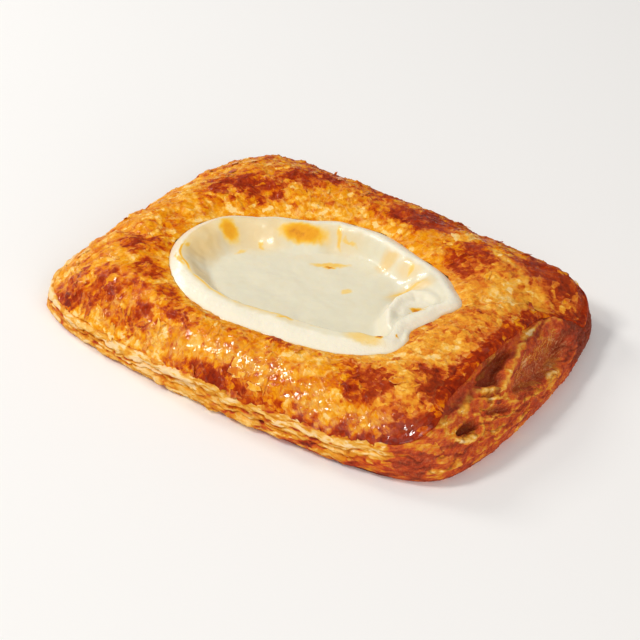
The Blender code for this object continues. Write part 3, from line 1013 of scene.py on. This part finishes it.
def loose_flakes_piece(skin, material):
    """Small curled flakes lying on the skin, most of them along its front shoulder and torn edge."""
    chance = np.random.default_rng(LOOSE_SEED)
    rings, around = skin.brown.shape
    along = np.linspace(0, 1, rings)[:, None]
    front = smooth((-skin.grid[..., 1] - 8) / 20) * smooth((30 - skin.grid[..., 0]) / 40)
    shoulder = 1.6 * front * smooth((along - 0.5) / 0.3)
    likely = smooth((along - 0.12) / 0.2) * (0.35 + shoulder + 0.9 * front * (along > 0.93))
    weight = (likely * cell_areas(skin.grid) * (along < 0.985)).ravel()
    chosen = chance.choice(weight.size, LOOSE_FLAKES, p=weight / weight.sum())
    turns = np.linspace(0, 2 * math.pi, FLAKE_AROUND, endpoint=False)
    reach, level, pale, spread = np.array(FLAKE_RINGS).T
    grids, browns = [], []
    for at in chosen:
        ring, spoke = divmod(int(at), around)
        out = skin.out[ring, spoke]
        first = skin.down[ring, spoke]
        second = np.cross(out, first)
        half_length = chance.uniform(*FLAKE_HALF_LENGTHS)
        half_width = half_length * chance.uniform(*FLAKE_SLIMNESS)
        heading = chance.uniform(0, 2 * math.pi)
        ragged = 1 + 0.28 * np.clip(chance.normal(size=FLAKE_AROUND), -2, 2)
        u = half_length * np.outer(reach, ragged * np.cos(turns))
        v = half_width * np.outer(reach, ragged * np.sin(turns))
        curl, tilt = chance.uniform(-0.06, 0.08), chance.uniform(0.0, 0.07)
        lift = curl * (u / half_length) ** 2 * half_length + tilt * (u + half_length) * 0.5
        lift = lift + level[:, None] * FLAKE_THICKNESS
        x = u * math.cos(heading) - v * math.sin(heading)
        y = u * math.sin(heading) + v * math.cos(heading)
        middle = skin.grid[ring, spoke]
        grids.append(middle + x[..., None] * first + y[..., None] * second + lift[..., None] * out)
        browns.append(skin.brown[ring, spoke] + chance.normal(-0.04, 0.07))
    cells = np.stack([np.outer(spread, np.cos(turns)), np.outer(spread, np.sin(turns))], axis=-1) + 0.5
    fields = {"browning": np.array(browns)[:, None, None], "thin_edge": pale[None, :, None], "glaze": 0.5}
    return many_pieces("loose_flakes", np.array(grids), fields, cells.reshape(-1, 2), material)


def strands_piece(layers, material):
    """Thin strands of torn dough in the broad hollow of the cut end."""
    chance = np.random.default_rng(STRAND_SEED)
    grid, out = layers.grid.reshape(-1, 3), layers.out.reshape(-1, 3)
    cut = grid[:, 0] > CUT_END_X
    grid, out = grid[cut], out[cut]
    turns = np.linspace(0, 2 * math.pi, STRAND_AROUND, endpoint=False)
    steps = np.linspace(0, 1, STRAND_STEPS)
    grids, browns = [], []
    for _ in range(STRANDS):
        middle = STRAND_FROM + (STRAND_TO - STRAND_FROM) * chance.uniform(0, 1)
        middle = middle + chance.normal(0, STRAND_SPREAD)
        heading = chance.normal(0.65, 0.5)
        half = chance.uniform(*STRAND_HALF_LENGTHS)
        ends = middle + np.outer([-1, 1], [math.cos(heading), math.sin(heading)]) * half
        bend = chance.normal(0, 0.35)
        path = []
        for step in steps:
            y, z = ends[0] + (ends[1] - ends[0]) * step
            z = z + bend * math.sin(math.pi * step)
            nearest = np.argmin((grid[:, 1] - y) ** 2 + (grid[:, 2] - z) ** 2)
            rise = STRAND_ARCH * math.sin(math.pi * step) * chance.uniform(0.8, 1.0) - STRAND_SINK
            point = grid[nearest] * np.array([1, 0, 0]) + np.array([0, y, z])
            path.append(point + out[nearest] * rise)
        path = np.array(path)
        if np.ptp(path[:, 0]) > STRAND_DIP:
            continue
        ahead = np.gradient(path, axis=0)
        ahead /= np.linalg.norm(ahead, axis=1)[:, None]
        side = np.cross(ahead, np.array([1.0, 0.0, 0.3]))
        side /= np.linalg.norm(side, axis=1)[:, None]
        up = np.cross(side, ahead)
        radius = chance.uniform(*STRAND_RADII) * np.sqrt(np.clip(np.sin(np.pi * steps), 0.08, 1))
        circle = np.cos(turns)[:, None] * side[:, None] + np.sin(turns)[:, None] * up[:, None]
        grids.append(path[:, None] + circle * radius[:, None, None])
        browns.append(chance.uniform(0.15, 0.8))
    around = np.linspace(0.04, 0.96, STRAND_AROUND)
    cells = np.stack(np.meshgrid(around, np.linspace(0.04, 0.96, STRAND_STEPS)), axis=-1)
    fields = {"browning": np.array(browns)[:, None, None], "thin_edge": 0.0, "hollow_shade": 0.0, "dull": 0.3}
    return many_pieces("strands", np.array(grids), fields, cells.reshape(-1, 2), material)


# -------- The baked cream --------

# Going round (degrees): how far inside the crust's edge the lip is highest, and where the pool begins (mm)
LIP_SETBACK = (
    (0, 2.8), (30, 2.8), (90, 3.0), (180, 3.4), (198, 2.6), (210, 4.2), (225, 5.2), (270, 5.9),
    (312, 7.2), (330, 7.0), (345, 3.6),
)
WHITE_BAND = (
    (0, 4.2), (45, 4.2), (90, 4.4), (135, 3.4), (180, 3.0), (200, 3.2), (225, 4.6), (270, 5.4),
    (320, 5.8),
)
# How strongly the lip's inner edge is toasted, going round
TOASTED_EDGE = (
    (150, 0), (186, 0.1), (196, 0.72), (214, 0.66), (232, 0.45), (280, 0.36), (305, 0.3), (325, 0),
    (340, 0),
)
POOL_INSET = (
    (5, 10.5), (28, 14.0), (50, 9.5), (71, 6.8), (96, 7.8), (122, 10.0), (146, 12.6), (180, 11.5),
    (207, 10.3), (225, 9.4), (270, 9.6), (312, 11.6), (330, 11.2), (350, 7.4),
)
# The fold the cream ends in: a rounded ridge through these places, round a low middle (mm)
FOLD = (
    (31.5, -11.8), (25.8, -9.6), (22.4, -4.9), (21.2, 0.3), (22.2, 4.2), (25.2, 6.0), (29.1, 5.0),
    (31.4, 2.4),
)
FOLD_WIDTH = 1.9
FOLD_TOP = 16.3
FOLD_FLOOR = 15.3
FOLD_REACH = 4.6
FOLD_POCKET = (27.0, -0.4)
POCKET_RADIUS, POCKET_DEPTH = 2.2, 0.7
LIP_RINGS, SLOPE_RINGS, POOL_RINGS = 30, 33, 61
POOL_MIDDLE = 0.02  # the innermost ring, as a share of the pool's outline
UNDER_CRUST, CRUST_DROP = 0.9, 1.8  # how far the cream goes on under the crust, and falls there, mm
WALL_OUTSET, WALL_DEPTH = 0.7, 3.4  # where its side begins, out from and below the crust's edge, mm
FOOT_RISE = 0.3  # its foot's height over the recess's floor, mm
FOLD_MIDDLE_SOFTNESS = 1.6
MAP_WALL_RINGS = (6.0, 3.0)  # how far outside the eye the side is laid on the flat map, mm
# Kinds of noise in the cream: seed, grain size (mm), octaves, gain
UNEVEN = (71, 7.0, 3, 0.5)
FINE = (72, 2.0, 2, 0.5)
SPOT_WOBBLE = 0.5  # how far the spots' outlines are pushed about, mm
SPOT_WOBBLES = ((73, 1.8, 3, 0.5), (74, 1.8, 3, 0.5))
# Toasted spots: x, y, half length, half width, turn in degrees, strength
TOASTED = (
    (-28.5, 0.9, 3.2, 2.1, -21, 0.72), (-20.4, 2.8, 1.6, 0.6, -35, 0.40),
    (-22.7, -1.9, 1.8, 0.8, 74, 0.32), (-13.4, 9.8, 5.8, 2.0, 24, 0.74),
    (-14.6, 9.0, 3.4, 1.0, 24, 0.80), (-5.5, 13.5, 2.0, 0.5, -53, 0.45),
    (-2.6, 13.8, 2.1, 0.35, -2, 0.35), (-31.1, -11.3, 0.8, 1.2, 37, 0.50),
    (-28.2, -17.3, 3.1, 0.4, -28, 0.50), (-3.5, -22.2, 2.3, 0.7, 11, 0.66),
    (6.3, -22.0, 1.9, 0.45, 14, 0.50), (28.0, -16.1, 0.7, 0.6, 37, 1.0),
    (25.4, -18.2, 4.6, 1.9, 14, 0.30), (30.5, -13.1, 0.7, 0.2, -14, 0.95),
    (-2.5, 6.2, 4.2, 1.0, 33, 0.42), (-2.1, 5.0, 1.5, 0.6, 28, 0.86),
    (7.1, -0.5, 1.4, 0.7, 70, 0.30), (16.4, 11.8, 0.8, 1.1, 5, 0.42),
    (19.0, 6.9, 4.6, 0.7, 45, 0.42), (27.0, 0.0, 2.2, 0.8, 16, 0.82),
    (27.6, -1.6, 1.8, 0.35, 20, 0.60),
)
# Pale-yellow regions, in the same terms
WARM = (
    (27.0, -17.7, 5.2, 3.2, 20, 0.80), (9.2, 13.1, 2.6, 2.4, 37, 0.70),
    (20.2, 6.5, 5.2, 2.8, 37, 0.80), (16.0, 12.0, 3.6, 2.2, 0, 0.50),
    (-24.0, 4.5, 10.0, 6.0, 38, 0.50), (-31.0, -7.0, 9.0, 5.5, -70, 0.70),
    (-8.0, 13.0, 9.0, 3.0, 10, 0.34), (-22.0, -18.0, 9.0, 3.0, -28, 0.40),
    (0.0, -24.5, 14.0, 3.0, 2, 0.30),
)


def cream_lines(angles):
    """Lines of the cream all round: its edge, the lip's crest, and where the pool begins."""
    eye = eye_radius(angles)
    setback, pool_inset = round_profile(angles, LIP_SETBACK), round_profile(angles, POOL_INSET)
    return SimpleNamespace(
        angle=angles,
        eye=eye,
        torn_eye=torn_eye_radius(angles),
        setback=setback,
        pool_inset=pool_inset,
        crest=eye - setback,
        pool=eye - pool_inset,
        crust_height=round_profile(angles, EYE_EDGE_HEIGHT),
    )


def cream_rings(way):
    """Rings from under the crust over the lip, down its slope and across the pool."""
    lip = np.linspace(0, 1, LIP_RINGS)[:, None]
    slope = np.linspace(0, 1, SLOPE_RINGS + 1)[1:, None]
    pool = np.linspace(1, POOL_MIDDLE, POOL_RINGS + 1)[1:, None]
    over_lip = mix(way.torn_eye + UNDER_CRUST, way.crest, lip)
    return np.vstack([over_lip, mix(way.crest, way.pool, slope), way.pool * pool])


def cream_height(way, cream):
    """How high the cream stands above the base, in mm."""
    climb = np.sin(np.clip(cream.inset / way.setback, 0, 1) * np.pi / 2)
    lip = way.crust_height + LIP_RISE * climb * (1 + 0.2 * cream.uneven)
    lip = lip - CRUST_DROP * smooth(-cream.inset / UNDER_CRUST)
    height = mix(lip, POOL_LEVEL + 0.2 * cream.uneven, cream.sunk)
    height = height + 0.5 * cream.uneven * np.sin(np.pi * cream.sunk)
    height = height + np.maximum(FOLD_FLOOR - height, 0) * cream.in_fold
    height = height - POCKET_DEPTH * bell(cream.from_pocket, POCKET_RADIUS)
    height = height + np.maximum(FOLD_TOP - height, 0) * cream.on_fold
    return height + 0.012 * cream.fine * smooth(cream.inset / 1.5)


def cream_look(way, cream):
    """How toasted the cream is, how warm and how white."""
    places = cream.flat[..., :2] + SPOT_WOBBLE * wobble(cream.flat, SPOT_WOBBLES)
    inner_line = bell(cream.inset - way.setback * 0.98 - 0.12 * cream.fine, 0.32)
    inner_line = inner_line * smooth(0.65 + 0.9 * cream.uneven)
    toast = np.maximum(spotted(places, TOASTED), round_profile(way.angle, TOASTED_EDGE) * inner_line)
    band = smooth((round_profile(way.angle, WHITE_BAND) - cream.inset + 0.3 * cream.fine) / 1.2)
    band = band * smooth((cream.inset + 0.2) / 0.8)
    left = smooth((-22 - cream.flat[..., 0]) / 8)
    warm = spotted(places, WARM) * (1 - 0.8 * cream.on_fold)
    warm = np.maximum(warm, 0.45 * bell(cream.inset, 0.6) * smooth(0.6 + cream.fine))
    warm = warm * (1 - 0.7 * band * (1 - 0.7 * left))
    white = np.maximum(0.85 * band, np.maximum(cream.on_fold, cream.in_fold) * cream.sunk)
    return {"toast": toast, "warmth": warm, "white": white}


def cream_piece(material):
    """The cream: a raised lip, a lower pool, the fold it was piped with, and toasted spots."""
    way = cream_lines(np.linspace(-math.pi, math.pi, CREAM_ROUND, endpoint=False))
    radius = cream_rings(way)
    inset = way.eye - radius
    flat = placed(way, radius, 0.0)
    from_pocket = np.hypot(flat[..., 0] - FOLD_POCKET[0], flat[..., 1] - FOLD_POCKET[1])
    cream = SimpleNamespace(
        inset=inset,
        flat=flat,
        uneven=noise(flat, UNEVEN),
        fine=noise(flat, FINE),
        sunk=smooth((inset - way.setback) / (way.pool_inset - way.setback)),
        from_pocket=from_pocket,
        in_fold=smooth(FOLD_MIDDLE_SOFTNESS - from_pocket / FOLD_REACH),
        on_fold=bell(distance_to_path(flat[..., :2], FOLD), FOLD_WIDTH),
    )
    foot = placed(way, way.eye * RECESS_FLOOR_SHARE, RECESS_FLOOR + FOOT_RISE)
    wall = placed(way, way.torn_eye + WALL_OUTSET, way.crust_height - WALL_DEPTH)
    surface = placed(way, radius, cream_height(way, cream))
    grid = np.concatenate([np.array([foot, wall]), surface])

    fields = {}
    for name, values in cream_look(way, cream).items():
        fields[name] = np.vstack([values[:1], values[:1], values])
    below = [placed(way, way.eye + reach, 0.0) for reach in MAP_WALL_RINGS]
    spread = np.concatenate([np.array(below), flat])[..., :2]
    return grid_piece("cream", grid, fields, disc_map(spread - np.array(EYE_CENTRE)), material)


# -------- Materials --------

# Display colours, 0 to 255. Stops go from unbaked to darkest: share of the way, colour
BROWNING_STOPS = (
    (0.00, (252, 212, 138)), (0.12, (249, 190, 74)), (0.27, (240, 160, 18)), (0.44, (227, 134, 2)),
    (0.58, (210, 96, 6)), (0.74, (172, 52, 8)), (1.00, (116, 26, 8)),
)
LAYER_STOPS = (
    (0.00, (251, 216, 162)), (0.12, (247, 200, 112)), (0.27, (234, 164, 46)),
    (0.44, (218, 132, 18)), (0.58, (208, 90, 24)), (0.74, (178, 56, 22)), (1.00, (112, 30, 14)),
)
PALE_EDGE = (251, 206, 126)
DULL = (206, 100, 56)
HAIR = (240, 182, 130)
DIM = (136, 50, 26)
# Painted shade for the cut end's hollows and crevices
HOLLOW_SHADE = (104, 34, 16)
IVORY = (232, 226, 201)
WHITE = (246, 239, 218)
WARM_IVORY = (240, 202, 124)
TOAST_STOPS = (
    (0.0, IVORY), (0.3, (244, 211, 130)), (0.55, (248, 190, 44)), (0.75, (242, 166, 14)),
    (0.9, (198, 108, 10)), (1.0, (120, 56, 16)),
)


class Nodes:
    """Short calls for building one material's nodes. Sizes are in mm."""

    def __init__(self, name):
        self.material = bpy.data.materials.new(name)
        self.material.use_nodes = True
        self.tree = self.material.node_tree
        self.place = self.node("ShaderNodeTexCoord").outputs["Object"]

    def node(self, kind, inputs=None):
        """A new node with these inputs, each a value or another node's output."""
        made = self.tree.nodes.new(kind)
        self.give(made, inputs or {})
        return made

    def give(self, node, inputs):
        for name, value in inputs.items():
            if isinstance(value, bpy.types.NodeSocket):
                self.tree.links.new(value, node.inputs[name])
            else:
                node.inputs[name].default_value = value

    def shade(self, inputs):
        """Gives the material's shader its inputs."""
        self.give(self.tree.nodes["Principled BSDF"], inputs)
        return self.material

    def field(self, name):
        node = self.node("ShaderNodeAttribute")
        node.attribute_name = name
        return node.outputs["Fac"]

    def texture(self, kind, size, stretch=(1, 1, 1), turn=0.0, inputs=None):
        """A texture of about this grain size, stretched and then turned about the X axis."""
        mapping = self.node("ShaderNodeMapping", {"Vector": self.place})
        mapping.vector_type = "TEXTURE"
        mapping.inputs["Scale"].default_value = [size * MM * share for share in stretch]
        mapping.inputs["Rotation"].default_value = (math.radians(turn), 0, 0)
        inputs = {"Vector": mapping.outputs["Vector"], "Scale": 1.0, **(inputs or {})}
        return self.node(kind, inputs)

    def noise(self, size, detail=3.0, roughness=0.6, stretch=(1, 1, 1), turn=0.0):
        """Noise from 0 to 1."""
        inputs = {"Detail": detail, "Roughness": roughness}
        return self.texture("ShaderNodeTexNoise", size, stretch, turn, inputs).outputs["Fac"]

    def warp(self, size, amount):
        """From now on every pattern is pushed about by this much noise, so nothing in it runs straight."""
        push = self.texture("ShaderNodeTexNoise", size, inputs={"Detail": 3.0}).outputs["Color"]
        moved = self.node("ShaderNodeVectorMath", {0: push, 1: [2 * amount * MM] * 3, 2: self.place})
        moved.operation = "MULTIPLY_ADD"
        self.place = moved.outputs["Vector"]

    def flakes(self, size, stretch):
        """A random value, from 0 to 1, for each of many cells like small flakes."""
        cells = self.texture("ShaderNodeTexVoronoi", size, stretch)
        parts = self.node("ShaderNodeSeparateColor", {"Color": cells.outputs["Color"]})
        return parts.outputs["Red"]

    def flake_edges(self, size, stretch):
        """The distance from the edges of the same cells, as a share of their size."""
        cells = self.texture("ShaderNodeTexVoronoi", size, stretch)
        cells.feature = "DISTANCE_TO_EDGE"
        return cells.outputs["Distance"]

    def math(self, operation, first, second, third=0.0):
        node = self.node("ShaderNodeMath", {0: first, 1: second, 2: third})
        node.operation = operation
        return node.outputs["Value"]

    def times(self, first, second):
        return self.math("MULTIPLY", first, second)

    def around_zero(self, value):
        return self.math("SUBTRACT", value, 0.5)

    def span(self, value, low, high, to_low, to_high):
        """The value's range from low to high, laid over another range and held at its ends."""
        inputs = {"Value": value, "From Min": low, "From Max": high, "To Min": to_low, "To Max": to_high}
        return self.node("ShaderNodeMapRange", inputs).outputs["Result"]

    def ramp(self, value, stops):
        node = self.node("ShaderNodeValToRGB", {"Fac": value})
        elements = node.color_ramp.elements
        stops = [(place, linear(*colour)) for place, colour in stops]
        for place, colour in stops[1:-1]:
            elements.new(place).color = colour
        elements[0].position, elements[0].color = stops[0]
        elements[-1].position, elements[-1].color = stops[-1]
        return node.outputs["Color"]

    def blend(self, share, below, colour):
        """This colour over the one below, as strongly as share says."""
        node = self.node("ShaderNodeMix")
        node.data_type = "RGBA"
        self.give(node, {0: share, 6: below, 7: linear(*colour)})
        return node.outputs[2]

    def bump(self, height, distance, strength=1.0, below=None):
        """A bumped surface, over the one below it where there is one."""
        inputs = {"Height": height, "Distance": distance * MM, "Strength": strength}
        if below is not None:
            inputs["Normal"] = below
        return self.node("ShaderNodeBump", inputs).outputs["Normal"]


def browned(made, stops, stretch, streak, contrast):
    """The colour of baked dough: browning with flakes and fine grain, and pale thin edges."""
    made.warp(1.3, 0.6)
    large = made.around_zero(made.flakes(2.4, stretch))
    small = made.around_zero(made.flakes(1.0, stretch))
    grain = made.around_zero(made.noise(0.8, 4.0, 0.65, streak))
    value = made.math("MULTIPLY_ADD", large, 0.17 * contrast, made.field("browning"))
    value = made.math("MULTIPLY_ADD", small, 0.14 * contrast, value)
    value = made.math("MULTIPLY_ADD", grain, 0.30 * contrast, value)
    bare = made.span(made.flakes(1.8, stretch), 0.76, 0.80, 0.0, 1.0)
    bare = made.times(bare, made.span(made.noise(5.0, 2.0), 0.42, 0.58, 0.0, 0.28))
    value = made.math("SUBTRACT", value, bare)
    outline = made.span(made.flake_edges(2.4, stretch), 0.0, 0.06, 1.0, 0.0)
    outline = made.times(outline, made.span(made.noise(2.4), 0.46, 0.60, 0.0, 0.3))
    edge = made.math("MAXIMUM", outline, made.times(made.field("thin_edge"), 0.8))
    edge = made.times(edge, made.span(value, 0.35, 0.75, 1.0, 0.12))
    return made.blend(edge, made.ramp(value, stops), PALE_EDGE), large


def skin_material():
    """Browned crust with a spotted glaze over its glossy places."""
    made = Nodes("browned_skin")
    colour, cells = browned(made, BROWNING_STOPS, (1.0, 1.0, 1.0), (1.0, 1.0, 1.0), 1.0)
    glaze = made.field("glaze")
    wrinkles = made.bump(made.noise(0.9, 1.5, 0.5), 0.22)
    wrinkles = made.bump(made.noise(0.8, 2.0, 0.5), 0.20, made.span(glaze, 0.3, 1.0, 0.05, 1.0), wrinkles)
    return made.shade({
        "Base Color": colour,
        "Roughness": made.span(made.noise(2.5, 3.0), 0.35, 0.65, 0.55, 0.32),
        "Specular IOR Level": 0.04,
        "Coat Weight": made.times(glaze, made.span(made.noise(1.3, 2.0), 0.42, 0.54, 0.15, 1.0)),
        "Coat Roughness": 0.07,
        "Coat IOR": 1.8,
        "Normal": made.bump(cells, 0.10, 1.0, wrinkles),
    })


def layers_material():
    """Puffed dough in long thin leaves, dull fibres in the hollows of the cut end, and painted shade in
    those hollows.
    """
    made = Nodes("puffed_layers")
    colour, cells = browned(made, LAYER_STOPS, (2.5, 2.5, 0.5), (3.0, 3.0, 0.5), 0.6)
    dull = made.field("dull")
    hairs = made.noise(0.24, 2.0, 0.5, (1, 9, 1), FIBRE_TURN)
    colour = made.blend(dull, colour, DULL)
    colour = made.blend(made.times(dull, made.span(hairs, 0.54, 0.66, 0.0, 1.0)), colour, HAIR)
    colour = made.blend(made.times(dull, made.span(hairs, 0.32, 0.46, 1.0, 0.0)), colour, DIM)
    # Painted shade over the cut end's hollows and crevices
    colour = made.blend(made.times(made.field("hollow_shade"), 0.8), colour, HOLLOW_SHADE)
    leaves = made.bump(made.noise(0.5, 3.0, 0.6, (5, 5, 0.6)), 0.22)
    return made.shade({
        "Base Color": colour,
        "Roughness": made.span(made.noise(1.5), 0.3, 0.7, 0.7, 0.5),
        "Specular IOR Level": 0.15,
        "Normal": made.bump(cells, 0.10, 1.0, leaves),
    })


def cream_material():
    """Ivory cream, warmer in places, glossy where it's baked yellow and crackled where it's white."""
    made = Nodes("baked_cream")
    toast, white = made.field("toast"), made.field("white")
    grain = made.around_zero(made.noise(0.7, 3.0))
    cloud = made.around_zero(made.noise(3.5, 3.0))
    on_spots = made.span(toast, 0.0, 0.1, 0.0, 1.0)
    toast = made.times(made.math("MULTIPLY_ADD", grain, 0.16, toast), on_spots)
    untoasted = made.math("SUBTRACT", 1.0, made.math("MINIMUM", made.times(toast, 3.0), 1.0))
    warmth = made.math("MULTIPLY_ADD", cloud, 0.35, made.field("warmth"))
    warmth = made.times(made.math("MAXIMUM", warmth, 0.0), untoasted)
    colour = made.blend(warmth, made.ramp(toast, TOAST_STOPS), WARM_IVORY)
    colour = made.blend(made.times(white, untoasted), colour, WHITE)
    crackle = made.bump(made.noise(1.2, 3.0), 0.26, made.span(white, 0.2, 1.0, 0.0, 1.0))
    return made.shade({
        "Base Color": colour,
        "Roughness": made.span(made.noise(2.0), 0.3, 0.7, 0.5, 0.36),
        "Subsurface Weight": 0.2,
        "Subsurface Radius": (1.0, 0.8, 0.5),
        "Subsurface Scale": 1.2 * MM,
        "Specular IOR Level": 0.3,
        "Coat Weight": made.span(white, 0.0, 1.0, 0.45, 0.14),
        "Coat Roughness": 0.14,
        "Normal": made.bump(made.noise(2.5, 1.0), 0.02, 1.0, crackle),
    })


# -------- Stage, light and camera --------

CAMERA_AZIMUTH = 37.5  # degrees from the front towards the cut end
CAMERA_ELEVATION = 33.96
CAMERA_DISTANCE = 527.3
CAMERA_TARGET = (5.9, -8.74, 8.5)
CAMERA_LENS = 130.8
FLOOR_SIZE = 6000.0
WORLD_STRENGTH = 0.34
DAYLIGHT = (1.0, 0.97, 0.92)
# Soft square lights: the direction they come from, how far away and how large (mm), watts, colour
LIGHTS = {
    "key": ((-0.52, -0.45, 0.74), 900, 210, 3.4, DAYLIGHT),
    "side_key": ((-0.85, 0.10, 0.52), 900, 200, 2.4, DAYLIGHT),
    "fill": ((0.8, -0.45, 0.5), 1100, 800, 6.0, (1.0, 0.94, 0.88)),
}


def light(name, way, distance, size, power, colour):
    """A square soft light, turned towards the pastry."""
    data = bpy.data.lights.new(name, "AREA")
    data.size = size * MM
    data.energy = power
    data.color = colour
    lamp = stand(name, data)
    towards = Vector(way).normalized()
    lamp.location = towards * distance * MM
    lamp.rotation_euler = towards.to_track_quat("Z", "Y").to_euler()


def stage():
    """A pale floor, a soft white surround and the lights."""
    half = FLOOR_SIZE / 2 * MM
    corners = [(-half, -half, 0), (half, -half, 0), (half, half, 0), (-half, half, 0)]
    mesh = bpy.data.meshes.new("floor")
    mesh.from_pydata(corners, [], [(0, 1, 2, 3)])
    pale = {"Base Color": (0.92, 0.92, 0.92, 1), "Roughness": 0.9, "Specular IOR Level": 0.1}
    mesh.materials.append(Nodes("pale_floor").shade(pale))
    floor = stand("floor", mesh)
    world = bpy.data.worlds.new("studio")
    bpy.context.scene.world = world
    world.use_nodes = True
    background = world.node_tree.nodes["Background"]
    background.inputs["Color"].default_value = (1.0, 1.0, 1.0, 1)
    background.inputs["Strength"].default_value = WORLD_STRENGTH
    for name, settings in LIGHTS.items():
        light(name, *settings)
    bpy.context.scene.view_settings.view_transform = "Standard"


def camera():
    """The camera, above the front and turned towards the cut end."""
    azimuth, elevation = math.radians(CAMERA_AZIMUTH), math.radians(CAMERA_ELEVATION)
    level = math.cos(elevation)
    back = Vector((math.sin(azimuth) * level, -math.cos(azimuth) * level, math.sin(elevation)))
    data = bpy.data.cameras.new("camera")
    data.lens = CAMERA_LENS
    data.sensor_width = 36.0
    data.clip_start = 0.01
    made = stand("camera", data)
    made.location = (Vector(CAMERA_TARGET) + back * CAMERA_DISTANCE) * MM
    made.rotation_euler = back.to_track_quat("Z", "Y").to_euler()
    bpy.context.scene.camera = made


# -------- Making it all --------


def main():
    way = plan(ROUND)
    browned_skin, puffed = skin_material(), layers_material()
    skin, skin_form = skin_piece(way, browned_skin)
    layers, layer_form = layers_piece(way, skin_form.reach, puffed)
    flakes = loose_flakes_piece(skin_form, browned_skin)
    strands = strands_piece(layer_form, puffed)
    cream = cream_piece(cream_material())
    for piece in (skin, layers, flakes, strands):
        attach(piece, "root")
        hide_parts("pastry")
    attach(cream, "root")
    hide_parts("filling")
    stage()
    camera()


main()
